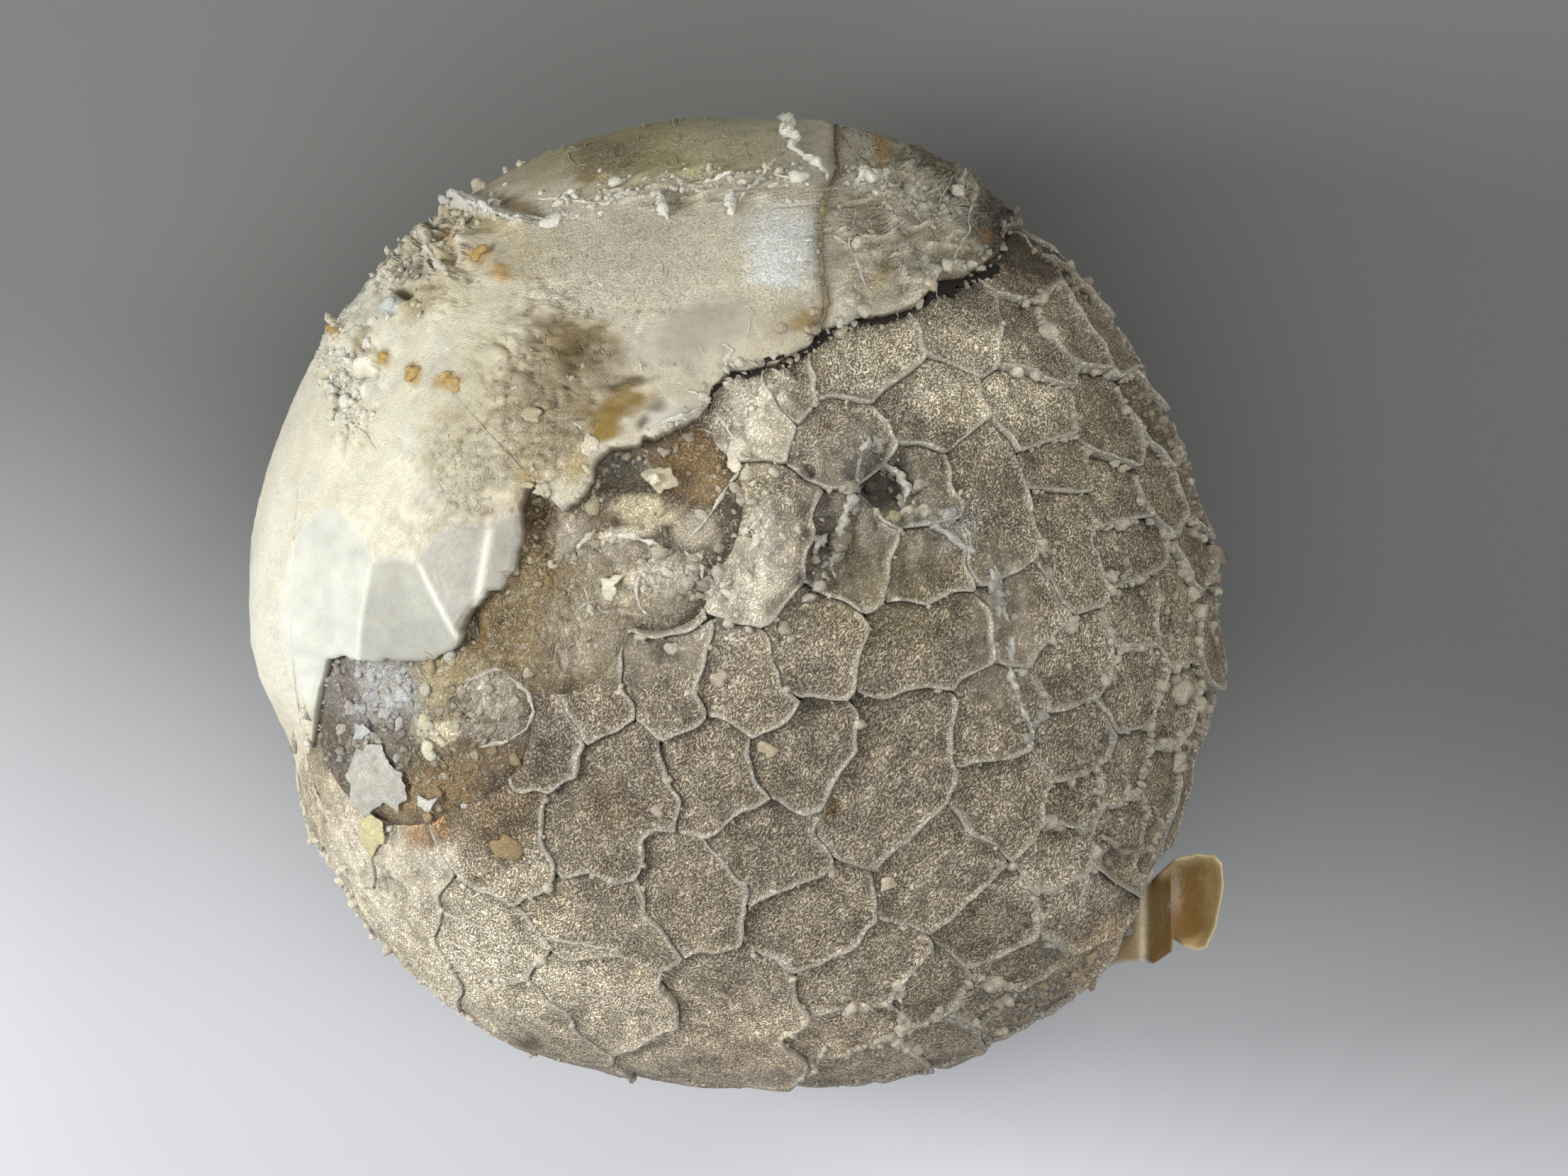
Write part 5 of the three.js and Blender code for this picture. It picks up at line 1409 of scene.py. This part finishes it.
RIDGES = [      # line, width, rise, colour
    ([(-1.0, 7.15), (-0.6, 6.7), (-0.2, 6.1), (0.0, 5.6), (0.05, 5.0), (-0.4, 4.3), (-1.0, 3.3),
     (-2.0, 2.1)], 0.11, 0.09, "e0d8c6"),
    ([(-5.2, 2.35), (-4.6, 2.5), (-3.9, 2.45), (-3.3, 2.25), (-2.7, 2.05)], 0.20, 0.10, "e4dcc8"),
    ([(-6.0, 2.0), (-5.6, 2.4), (-5.3, 2.7)], 0.28, 0.12, "cfc8b4"),
    ([(4.95, 6.15), (4.55, 5.7), (4.45, 5.1), (4.35, 4.3)], 0.36, 0.34, "b9b5aa"),
    ([(4.95, 6.2), (5.3, 5.8), (5.6, 5.3), (6.1, 4.95), (6.3, 4.3), (6.15, 3.7)], 0.36, 0.34,
     "bfbbad"),
    ([(4.3, 3.9), (3.95, 3.3), (3.8, 2.5), (3.7, 1.9), (3.4, 1.4), (3.6, 0.9)], 0.34, 0.20,
     "b9b5a8"),
    ([(3.3, 2.6), (2.9, 2.2), (2.8, 1.7)], 0.36, 0.18, "b5b1a4"),
    ([(5.6, 3.1), (6.2, 3.4), (6.8, 3.4), (7.6, 3.3)], 0.36, 0.20, "b0aa97"),
    ([(7.0, 3.0), (7.6, 2.6), (8.2, 2.1), (8.8, 1.8)], 0.34, 0.18, "b3b1a8"),
    ([(9.2, 1.6), (9.6, 0.8), (9.7, -0.2), (10.0, -1.2), (9.9, -2.5), (10.3, -3.6), (10.9, -4.9)],
     0.26, 0.20, "c3beb1"),
    ([(9.2, 1.3), (9.5, 0.3), (9.5, -0.6)], 0.34, 0.18, "b9b5aa"),
    ([(-8.6, -2.6), (-7.9, -3.3), (-7.65, -4.0), (-7.9, -4.7), (-8.6, -5.15), (-9.6, -5.3)], 0.20,
     0.12, "c4bba8"),
    ([(-10.3, -3.4), (-9.8, -2.8), (-9.0, -2.45), (-8.6, -2.5)], 0.16, 0.10, "bdb4a2"),
    ([(4.1, 13.9), (4.0, 13.2), (3.85, 12.6), (4.2, 11.9), (4.5, 11.3), (4.45, 10.9)], 0.11, 0.08,
     "cfc8b6"),
    ([(3.3, 12.85), (3.85, 12.6)], 0.09, 0.07, "cfc8b6"),
    ([(5.3, 14.3), (5.5, 14.6), (5.95, 14.2), (5.75, 13.95), (6.2, 13.8), (6.55, 13.1)], 0.10,
     0.08, "d2cbb8"),
    ([(5.9, 15.0), (6.3, 14.4), (7.1, 14.0)], 0.10, 0.08, "d2cbb8"),
    ([(7.0, 14.0), (7.5, 15.0)], 0.09, 0.07, "cfc8b6"),
    ([(7.4, 14.3), (7.9, 15.0), (8.0, 15.7)], 0.09, 0.07, "cfc8b6"),
    ([(8.0, 15.0), (8.2, 14.2), (8.2, 13.2), (7.8, 12.6), (7.4, 11.9)], 0.10, 0.08, "cfc8b6"),
    ([(3.6, 14.8), (4.0, 14.7), (4.4, 14.9), (5.0, 14.7), (5.2, 15.3)], 0.26, 0.14, "dad5c6"),
    ([(-6.0, 6.5), (-5.7, 6.3), (-5.4, 6.0)], 0.05, 0.04, "e4dfd0"),
    ([(0.1, 10.3), (0.3, 10.4), (0.5, 10.1), (0.35, 9.9), (0.3, 9.3)], 0.045, 0.04, "e4dfd0"),
    ([(-3.6, 8.8), (-3.5, 8.4), (-3.4, 8.1)], 0.045, 0.04, "e4dfd0"),
    ([(-1.45, 9.1), (-1.3, 8.9), (-1.1, 8.8)], 0.06, 0.04, "e4dfd0"),
    ([(-0.7, 9.2), (-0.2, 9.0), (-0.55, 8.7), (-0.4, 8.4)], 0.16, 0.10, "dcd6c6"),
    ([(-2.0, 7.6), (-1.5, 7.5), (-1.15, 7.2)], 0.07, 0.05, "e6e1d2"),
    ([(-1.3, 7.05), (-2.0, 6.6), (-2.6, 6.4), (-3.0, 6.2)], 0.16, 0.09, "d8d4c8"),
    ([(-7.1, 14.1), (-6.0, 14.05), (-4.6, 13.95), (-4.3, 14.3)], 0.08, 0.08, "e2ddcb"),
    ([(-1.9, 14.6), (-1.2, 14.75), (-0.2, 14.9)], 0.20, 0.14, "dcd7c8"),
    ([(0.0, 14.0), (0.5, 14.6), (1.2, 15.3)], 0.13, 0.10, "dcd7c8"),
    ([(1.2, 15.0), (1.6, 14.8), (2.0, 14.6)], 0.12, 0.10, "dcd7c8"),
    ([(-0.3, 14.3), (-0.3, 13.9), (-0.2, 13.5)], 0.26, 0.18, "dedacc"),
    ([(-2.8, 14.5), (-2.75, 13.9), (-2.5, 13.5)], 0.30, 0.20, "dedacc"),
    ([(1.3, 18.1), (1.1, 17.8), (1.5, 17.2), (1.9, 17.0), (1.5, 16.6), (2.1, 16.3), (1.8, 16.0),
     (2.6, 15.4), (3.0, 15.1), (3.1, 14.8)], 0.30, 0.22, "dddacd"),
    ([(-10.5, 13.8), (-9.9, 14.05), (-9.3, 13.75), (-8.6, 13.5), (-8.0, 13.3), (-7.7, 13.2)], 0.26,
     0.24, "cfcdc2"),
    ([(-10.8, 12.9), (-10.8, 12.3), (-10.3, 11.6), (-10.0, 11.2)], 0.30, 0.20, "cbc6b6"),
    ([(-13.9, 8.9), (-14.2, 8.2), (-14.5, 7.7), (-13.9, 7.4)], 0.20, 0.14, "d6d3c5"),
    ([(-14.2, 6.9), (-14.0, 6.6), (-13.2, 5.9), (-12.8, 5.4)], 0.10, 0.07, "dcd9cb"),
    ([(-7.3, -12.3), (-4.5, -12.8), (-2.6, -13.8)], 0.10, 0.08, "c9bfa9"),
    ([(-9.0, -11.5), (-7.4, -11.4)], 0.09, 0.07, "d0c6b0"),
    ([(-11.2, -11.2), (-10.1, -11.6), (-9.0, -12.0)], 0.10, 0.08, "d6ccb5"),
    ([(-11.0, -12.3), (-9.9, -12.6), (-8.4, -13.0)], 0.10, 0.08, "d6ccb5"),
    ([(-3.55, 1.1), (-3.75, 0.5), (-3.6, -0.1), (-3.3, -0.45)], 0.16, 0.16, "d9d2c0"),
    ([(-3.2, 1.2), (-2.7, 1.2), (-2.4, 0.9)], 0.26, 0.14, "d6cdb6"),
    ([(-2.0, 1.9), (-1.6, 1.5), (-1.3, 1.3), (-1.35, 0.8)], 0.16, 0.12, "d5cdb9"),
    ([(-5.7, 0.6), (-5.5, 0.1), (-5.9, -0.3)], 0.08, 0.07, "d8d0bd"),
    ([(3.2, -16.2), (2.7, -17.2), (2.0, -17.9)], 0.24, 0.2, "cfc5ae"),
    ([(13.4, -8.6), (14.4, -9.3), (15.2, -9.0), (15.6, -8.2), (15.3, -7.5)], 0.34, 0.3, "a99e88"),
    ([(15.2, -10.4), (14.9, -11.3), (14.9, -12.9)], 0.28, 0.3, "c9c0aa"),
    ([(-16.7, -6.6), (-16.0, -8.2), (-15.0, -10.0)], 0.22, 0.16, "d9d0b8"),
    ([(-15.9, -6.8), (-15.2, -8.4), (-14.3, -9.8)], 0.18, 0.14, "d3c9ae"),
    (VEIN[:5], 0.16, 0.11, "71634a"),
    (VEIN[4:], 0.20, 0.12, "8a7b5e")]

LUMPS = [       # x, y, radius, rise, colour
    (-0.7, -2.75, 0.28, 0.22, "b5a997"), (-2.5, -1.65, 0.26, 0.16, "b9b0a0"),
    (1.1, -5.4, 0.26, 0.2, "b3a58b"), (5.5, -10.4, 0.3, 0.22, "b8ac96"),
    (5.8, -14.4, 0.2, 0.26, "c9bea9"), (6.3, -15.5, 0.3, 0.26, "c5b9a3"),
    (9.5, -15.0, 0.3, 0.26, "bfb39d"), (9.6, -15.7, 0.24, 0.24, "bfb39d"),
    (-8.7, -9.0, 0.5, 0.24, "96825f"), (11.1, 2.0, 0.26, 0.24, "bdb09b"),
    (12.1, -0.8, 0.34, 0.30, "c2b9a8"), (13.6, 0.9, 0.24, 0.22, "bdb09b"),
    (16.7, -0.4, 0.26, 0.26, "a89d89"), (17.3, -0.2, 0.22, 0.26, "a89d89"),
    (17.2, -0.9, 0.24, 0.26, "a59a86"), (16.2, -3.3, 0.36, 0.36, "b8ae9b"),
    (16.8, -3.7, 0.30, 0.32, "b2a893"), (17.45, -4.1, 0.34, 0.34, "b2a893"),
    (6.7, 4.4, 0.28, 0.24, "9a9488"), (5.05, 4.4, 0.18, 0.14, "55443a"),
    (5.7, 3.15, 0.30, 0.20, "9f9873"), (4.1, 3.65, 0.28, 0.20, "b5b3ab"),
    (7.8, 3.2, 0.24, 0.16, "aaa9a6"), (-1.5, 1.7, 0.16, 0.14, "d6cfbd"),
    (2.7, -16.9, 0.28, 0.26, "c4b99f"), (3.8, 17.9, 0.3, 0.3, "766a4a"),
    (6.3, 17.0, 0.26, 0.22, "9b9074"), (7.6, 16.6, 0.22, 0.2, "9b9074"),
    (4.6, 15.3, 0.3, 0.10, "8d6c3a"), (4.5, 14.9, 0.36, 0.16, "cfcabb"),
    (-12.15, 13.15, 0.26, 0.14, "a5864f"), (-14.3, 9.6, 0.2, 0.14, "ab8d58"),
    (-12.55, 8.65, 0.22, 0.14, "b39557"), (-11.45, 8.1, 0.30, 0.16, "b59a60"),
    (-10.3, 7.85, 0.24, 0.14, "b39a66"), (-9.9, 7.65, 0.2, 0.12, "b39a66"),
    (-9.1, 12.15, 0.28, 0.14, "b09358"), (7.6, 14.3, 0.24, 0.14, "d0cab8"),
    (6.2, 14.3, 0.22, 0.12, "cbc5b4"), (-11.5, -4.5, 0.36, 0.24, "cfc5a6"),
    (-11.3, -5.4, 0.30, 0.22, "d2cab3"), (-12.6, -2.7, 0.22, 0.16, "b9bcbc"),
    (-13.7, -2.8, 0.26, 0.14, "b3b6b8"), (-13.2, -3.3, 0.20, 0.14, "b9babb"),
    (-14.0, -3.5, 0.24, 0.16, "aeb0b0"), (-13.4, -4.2, 0.26, 0.16, "b5b4b0"),
    (-12.6, -3.5, 0.3, 0.18, "bfc1be"), (-14.6, -4.0, 0.28, 0.2, "b5aea5"),
    (-14.8, -4.7, 0.24, 0.2, "b8b2a5"), (-12.7, -4.6, 0.24, 0.14, "b9b5aa"),
    (-14.2, -2.5, 0.2, 0.14, "b0b2b3"), (-10.3, -7.6, 0.34, 0.14, "bdbdb8"),
    (-7.75, -2.6, 0.2, 0.16, "b0a795"), (-6.9, 1.4, 0.2, 0.12, "bfb69f"),
    (-5.4, -0.3, 0.2, 0.14, "c3bcab"), (-3.0, -7.7, 0.2, 0.14, "af9f93"),
    (8.6, 8.7, 0.16, 0.14, "a9a18f"), (3.4, -9.9, 0.18, 0.16, "bfb39b"),
    (-3.6, -8.5, 0.16, 0.12, "cdc5b3"), (13.0, -13.1, 0.3, 0.2, "b6a686"),
    (-6.6, 13.35, 0.3, 0.14, "dcd8cb"), (-13.2, 9.2, 0.24, 0.16, "dcdacd"),
    (-12.4, 10.6, 0.34, 0.16, "c5c9c5")]


def flakes_piece(material):
    """Thin flakes that still cling to the stone."""
    bodies_piece("flakes", [sheet_body(np.array(outline, float), lift, np.array(slope), code, i)
                            for i, (outline, lift, slope, code) in enumerate(FLAKES)], material)


def ridges_piece(material):
    """Thin crusts, rims and threads that stand on the skin."""
    bodies_piece("ridges", [ribbon_body(*row, seed=i) for i, row in enumerate(RIDGES)], material)


def lumps_piece(material):
    """Knobs of the skin, from a quarter to one millimetre across."""
    rows = np.array([row[:4] for row in LUMPS])
    colours = np.stack([linear(row[4]) for row in LUMPS])
    chance = np.random.default_rng(23)
    radii = rows[:, 2:3] * chance.uniform(0.8, 1.2, (len(rows), 2))
    bodies_piece("lumps", [blob_bodies(rows[:, :2], radii, rows[:, 3], colours, seed=3, rows=12,
                                       columns=20, craggy=0.75)], material)


CRUMB_BANDS = [     # a line, how far crumbs stray from it, how many, their radius and colours
    (LEDGE[11:24], 0.18, 70, 0.12, ("e8e0cb", "d8ccac")),
    (LEDGE[24:41], 0.16, 120, 0.10, ("cfc8b6", "b9af96")),
    (LEDGE[0:9], 0.16, 40, 0.09, ("e6e6df", "d9d3c2")),
    ([(-17.9, 6.0), (-18.1, 2.0), (-18.1, -2.0), (-17.6, -4.8)], 0.35, 150, 0.09,
     ("f2efe2", "e8e2cf")),
    ([(-13.4, 12.6), (-15.0, 10.4), (-16.6, 8.4), (-17.6, 6.2)], 0.4, 170, 0.11,
     ("efeada", "e2d8bd")),
    ([(-7.4, 16.5), (-9.6, 15.0), (-11.4, 14.1), (-13.0, 13.0)], 0.45, 230, 0.15,
     ("e6e0cf", "cfc6ad")),
    ([(-17.0, -6.4), (-15.6, -9.4), (-13.8, -12.3), (-11.6, -14.2), (-9.0, -16.3)], 0.4, 200, 0.10,
     ("efe6cc", "d9cdb0")),
    ([(-6.5, 13.9), (-3.0, 14.6), (0.5, 14.8), (2.4, 15.0)], 0.30, 170, 0.10, ("efece0", "e0d9c6")),
    ([(-8.6, 13.6), (-10.6, 13.6), (-11.8, 12.4), (-12.2, 10.6)], 0.55, 120, 0.11,
     ("dfdacc", "c0b598")),
    ([(-13.9, 10.0), (-14.2, 8.0), (-13.6, 6.2)], 0.35, 90, 0.13, ("e6e3d6", "d6cfb6")),
    ([(3.4, 11.0), (5.0, 13.4), (6.8, 13.4), (7.6, 15.6)], 1.2, 120, 0.10, ("d5cebc", "a99e82")),
    ([(3.8, 15.0), (4.8, 14.7), (6.0, 14.2), (7.6, 14.1)], 0.25, 90, 0.13, ("dad6c8", "c5bfae")),
    ([(3.6, 18.0), (6.3, 17.2), (8.2, 16.2), (9.8, 14.8)], 0.25, 130, 0.15, ("8c8060", "6b5f3e")),
    ([(-2.0, 0.4), (0.6, -0.4), (2.4, 1.0), (0.2, 3.0), (-0.6, 5.0), (0.8, 6.4)], 0.8, 150, 0.11,
     ("d8d0bd", "c2b8a0")),
    ([(-3.4, 1.2), (-1.6, 1.4), (-1.2, 0.4), (0.2, -0.2)], 0.4, 110, 0.13, ("dcd5c4", "c9bfa8")),
    ([(9.3, 1.4), (10.0, -1.4), (10.2, -3.4), (11.0, -5.2)], 0.22, 120, 0.11, ("bfbcb4", "a5a5a3")),
    ([(-14.8, -2.6), (-12.2, -2.6), (-12.0, -4.6), (-14.6, -5.2)], 0.7, 190, 0.13,
     ("c2c4c4", "aaa69f")),
    ([(-10.8, -2.4), (-9.4, -3.0), (-9.6, -5.0), (-11.8, -6.4)], 0.8, 150, 0.11,
     ("cfc7b0", "a99a7b")),
    ([(-9.0, -0.4), (-7.0, 2.8), (-5.6, 0.6), (-5.0, -1.4)], 1.0, 110, 0.09, ("c2b8a0", "8c7a55")),
    ([(-8.4, 5.4), (-7.6, 7.6), (-6.0, 9.8), (-4.6, 8.4)], 0.9, 60, 0.09, ("c9c0a6", "8a7c5c")),
    ([(14.9, 8.6), (16.6, 5.0), (17.5, 1.0), (17.6, -3.0), (17.1, -6.4)], 0.35, 200, 0.12,
     ("a99f8b", "8b806c")),
    ([(11.4, 13.4), (14.0, 10.4), (15.4, 8.0)], 0.35, 70, 0.11, ("968c78", "7a705d")),
    ([(8.4, -16.4), (10.6, -15.3), (12.6, -14.0), (14.0, -13.2)], 0.35, 150, 0.11,
     ("bdaf8f", "988460")),
    ([(4.95, 6.2), (4.5, 5.2), (4.3, 4.2), (3.9, 3.2), (3.7, 2.0), (3.3, 1.2)], 0.16, 110, 0.10,
     ("bdb6a4", "a19a88")),
    ([(5.0, 6.2), (5.8, 5.2), (6.3, 4.4), (6.1, 3.6), (7.0, 3.3), (8.8, 1.9)], 0.18, 110, 0.10,
     ("b9b2a0", "9a9382")),
    ([(11.0, 2.6), (13.4, 0.6), (15.0, -1.4), (16.6, -3.6)], 0.9, 110, 0.12, ("beb5a2", "a59a84")),
    ([(-5.0, 5.2), (-3.2, 4.2), (-2.4, 2.8), (-0.6, 3.6), (-0.2, 6.2)], 0.5, 60, 0.08,
     ("d0c7b0", "a9997a"))]


def lip_crumbs_piece(bodies, material):
    """Crumbs along the lips of the plates, more and larger where plates stand like scales."""
    chance = np.random.default_rng(41)
    rims = np.concatenate([b["place"][-1] for b in bodies])
    facing = np.concatenate([b["facing"][-1] for b in bodies])
    bare = ~inside(rims, LEDGE) & (plate_share(rims) > 0.6) & (facing > 0.0)
    rims = rims[bare]
    wild = painted_mask(rims, WILD)
    share = (0.25 + wild) / (0.25 + wild).sum()
    count = 1500
    chosen = chance.choice(len(rims), count, p=share)
    places = rims[chosen] + chance.normal(0, 0.06, (count, 2))
    size = 0.075 * np.exp(chance.normal(0, 0.4, count)) * (1 + 0.8 * wild[chosen])
    radii = size[:, None] * chance.uniform(0.7, 1.4, (count, 2))
    rises = 0.08 + size * chance.uniform(0.4, 1.1, count)
    colours = 0.5 * linear("c9c0ab") + 0.75 * skin_tint(places)
    bodies_piece("lip_crumbs", [blob_bodies(places, radii, rises, colours, seed=60, rows=4,
                                            columns=8, craggy=0.6)], material)


def crumbs_piece(material):
    """Crumbs scattered along bands of the skin, at places drawn once from a fixed seed."""
    chance = np.random.default_rng(17)
    parts = []
    for i, (line, stray, count, radius, codes) in enumerate(CRUMB_BANDS):
        path = along_line(np.asarray(line, float), 0.05)
        places = path[chance.integers(0, len(path), count)] + chance.normal(0, stray, (count, 2))
        places = off_chip(places)
        count = len(places)
        size = radius * np.exp(chance.normal(-0.15, 0.45, count))
        radii = size[:, None] * chance.uniform(0.5, 1.5, (count, 2))
        limb = ease(14.0, 17.0, np.linalg.norm(places, axis=-1))
        rises = size * chance.uniform(0.4, 0.9, count) * (1 + 0.8 * limb)
        own = np.stack([linear(code) for code in chance.choice(codes, count)])
        colours = 0.45 * own + 0.65 * skin_tint(places)
        parts.append(blob_bodies(places, radii, rises, colours, seed=20 + i, rows=4, columns=7,
                                 craggy=0.8))
    bodies_piece("crumbs", parts, material)


FIBRE_ZONES = [     # x, y, the two radii, how many fibres, their length, width and colour
    (-8.0, -0.4, 1.5, 2.2, 170, 0.42, 0.045, "c4b38e"),
    (-6.0, 0.2, 1.6, 2.2, 130, 0.42, 0.045, "cabda0"),
    (-9.0, -3.9, 1.2, 1.2, 90, 0.4, 0.045, "cfc6b2"),
    (-11.2, -6.4, 1.5, 1.2, 140, 0.42, 0.045, "c6b48b"),
    (-10.8, -3.2, 0.8, 1.2, 70, 0.4, 0.045, "cdbf90"),
    (-1.6, 5.4, 1.2, 1.4, 26, 0.3, 0.04, "cdbf9e"),
    (-6.4, 8.2, 2.2, 2.6, 60, 0.35, 0.05, "a39673"),
    (5.6, 13.2, 2.8, 2.4, 110, 0.45, 0.05, "cfc9b9"),
    (-9.6, 4.6, 1.2, 1.6, 90, 0.35, 0.05, "d5ceb9"),
    (-4.0, 11.8, 3.6, 1.8, 90, 0.22, 0.05, "d3cdbd"),
    (-3.0, 16.2, 5.0, 1.2, 70, 0.25, 0.05, "bdb597"),
    (4.4, 16.4, 0.8, 1.0, 60, 0.4, 0.05, "c5bca4"),
    (7.2, 14.6, 1.4, 1.2, 40, 0.5, 0.05, "c5bca4"),
    (-0.6, 1.4, 1.8, 1.8, 60, 0.3, 0.045, "dad3c2"),
    (-3.4, 0.6, 1.2, 1.2, 60, 0.35, 0.045, "d7cdb7")]


def fibres_piece(material):
    """Fine pale fibres that lie curled on the crusty parts, drawn from a fixed seed."""
    chance = np.random.default_rng(31)
    parts = []
    for i, (x, y, rx, ry, count, length, width, code) in enumerate(FIBRE_ZONES):
        spread = np.sqrt(chance.uniform(0, 1, count))[:, None]
        turn = chance.uniform(0, 2 * np.pi, count)
        places = np.array([x, y]) + spread * np.stack([rx * np.cos(turn), ry * np.sin(turn)], -1)
        places = off_chip(places)
        count = len(places)
        headings = chance.uniform(0, 2 * np.pi, count)
        curls = chance.normal(0, 2.2, count)
        lengths = length * chance.uniform(0.4, 1.5, count)
        colours = 0.5 * linear(code) + 0.55 * skin_tint(places)
        parts.append(thread_bodies(places, headings, curls, lengths, colours, width,
                                   0.6 * width, seed=200 + 2 * i))
    bodies_piece("fibres", parts, material)


# Near-black of the ribbons in the gap under the ledge: painted shadow.
CRACK_SHADOW = "17120d"
CRACKS = [      # line, width, rise
    ([(-1.15, 7.1), (-1.0, 7.8), (-0.4, 8.15), (-0.2, 8.45), (0.5, 8.35), (1.1, 8.75), (1.9, 9.0)],
     0.20, 0.03),
    ([(1.9, 9.0), (2.9, 9.6), (3.3, 10.0), (4.1, 10.05)], 0.32, 0.03),
    ([(4.2, 10.3), (5.0, 10.45), (5.9, 10.55), (6.6, 10.9)], 0.20, 0.03),
    ([(6.8, 10.95), (7.3, 11.6), (8.2, 11.9), (9.0, 11.95), (9.6, 12.5)], 0.55, 0.03)]


def cracks_piece(material):
    """Near-black ribbons in the gap under the ledge: painted shadow of the crack."""
    bodies_piece("cracks", [ribbon_body(*row, CRACK_SHADOW, seed=40 + i, wander=0.06)
                            for i, row in enumerate(CRACKS)], material)


# ------------------------------------------------------------------ stage
def make_floor():
    """A matt floor, paler towards the lower left: painted light falloff and painted shadow."""
    size = 1.5
    mesh = bpy.data.meshes.new("floor")
    mesh.from_pydata([(-size, -size, 0), (size, -size, 0), (size, size, 0), (-size, size, 0)],
                     [], [(0, 1, 2, 3)])
    material = bpy.data.materials.new("floor")
    material.use_nodes = True
    graph = Graph(material.node_tree)
    shader = material.node_tree.nodes["Principled BSDF"]
    place = graph.place()
    # Darker towards the top and a little towards the right: painted falloff of the window light and
    # painted shadow of the stone.
    along = graph.add("ShaderNodeVectorMath", {0: place, 1: (0.25, 1.0, 0.0)},
                      operation="DOT_PRODUCT").outputs["Value"]
    pale, dark = (0.51, 0.52, 0.55, 1.0), (0.105, 0.11, 0.105, 1.0)
    colour = graph.mix(graph.span(along, -25.0, 6.0), pale, dark)
    graph.link(colour, shader.inputs["Base Color"])
    shader.inputs["Roughness"].default_value = 0.6
    mesh.materials.append(material)
    floor = bpy.data.objects.new("floor", mesh)
    bpy.context.scene.collection.objects.link(floor)


def make_light(name, place, aim, size, power, colour):
    """A soft square light at a place in millimetres, turned to what it aims at."""
    data = bpy.data.lights.new(name, "AREA")
    data.shape = "SQUARE"
    data.size = size * MM
    data.energy = power
    data.color = colour
    light = bpy.data.objects.new(name, data)
    light.location = Vector(place) * MM
    light.rotation_euler = (Vector(aim) - Vector(place)).to_track_quat("-Z", "Y").to_euler()
    bpy.context.scene.collection.objects.link(light)


def make_camera():
    """A long lens straight above the stone, far enough away to see it without perspective."""
    distance, width, middle = 1500.0, 58.2, (1.66, 0.54)
    data = bpy.data.cameras.new("camera")
    data.sensor_width = 36.0
    data.lens = data.sensor_width * distance / width
    data.clip_end = 10.0
    camera = bpy.data.objects.new("camera", data)
    camera.location = Vector((*middle, WAIST_HEIGHT + distance)) * MM
    bpy.context.scene.collection.objects.link(camera)
    bpy.context.scene.camera = camera


def make_stage():
    """Floor, daylight, lights and camera."""
    make_floor()
    world = bpy.data.worlds.new("daylight")
    world.use_nodes = True
    sky = world.node_tree.nodes["Background"].inputs
    sky["Color"].default_value = (0.86, 0.92, 1.0, 1.0)
    sky["Strength"].default_value = 0.13
    bpy.context.scene.world = world
    make_light("window", (-190, 0, 140), (0, 0, 12), 80, 0.60, (1.0, 0.98, 0.95))
    make_light("ceiling", (0, -110, 290), (0, 0, 8), 240, 0.58, (0.97, 0.98, 1.0))
    make_light("bounce", (150, 120, 190), (0, 0, 12), 160, 0.44, (1.0, 0.97, 0.92))
    bpy.context.scene.view_settings.view_transform = "Standard"
    make_camera()


# ------------------------------------------------------------------ the stone
def shown_plates():
    """Numbers of the dome and belly plates, without those that lie well under the shell."""
    shown = []
    for plate in range(OWNERS[-1] + 1):
        place = unroll(ball_of(MIDDLES[OWNERS == plate]))
        covered = inside(place, LEDGE) & (to_line(place, LEDGE, closed=True) > COVERED_PLATE)
        if not covered.all():
            shown.append(plate)
    dome = [plate for plate in shown if plate < len(DOME_PLATES)]
    return dome, [plate for plate in shown if plate >= len(DOME_PLATES)]


def make_stone():
    """All pieces of the stone."""
    plate_flint, crust = plate_material(), crust_material()
    bodies = []
    for (name, (rows, columns)), plates in zip(PLATE_GRIDS.items(), shown_plates()):
        chance = np.random.default_rng(5)
        own = [plate_body(plate, rows, columns, chance) for plate in plates]
        plates_piece(name, own, rows, columns, plate_flint)
        bodies += own
    lip_crumbs_piece(bodies, crust)
    mould_piece(mould_material())
    shell_piece(shell_material())
    flange_piece(amber_material())
    flakes_piece(crust)
    ridges_piece(crust)
    lumps_piece(crust)
    crumbs_piece(crust)
    fibres_piece(crust)
    cracks_piece(crust)


make_stone()
make_stage()
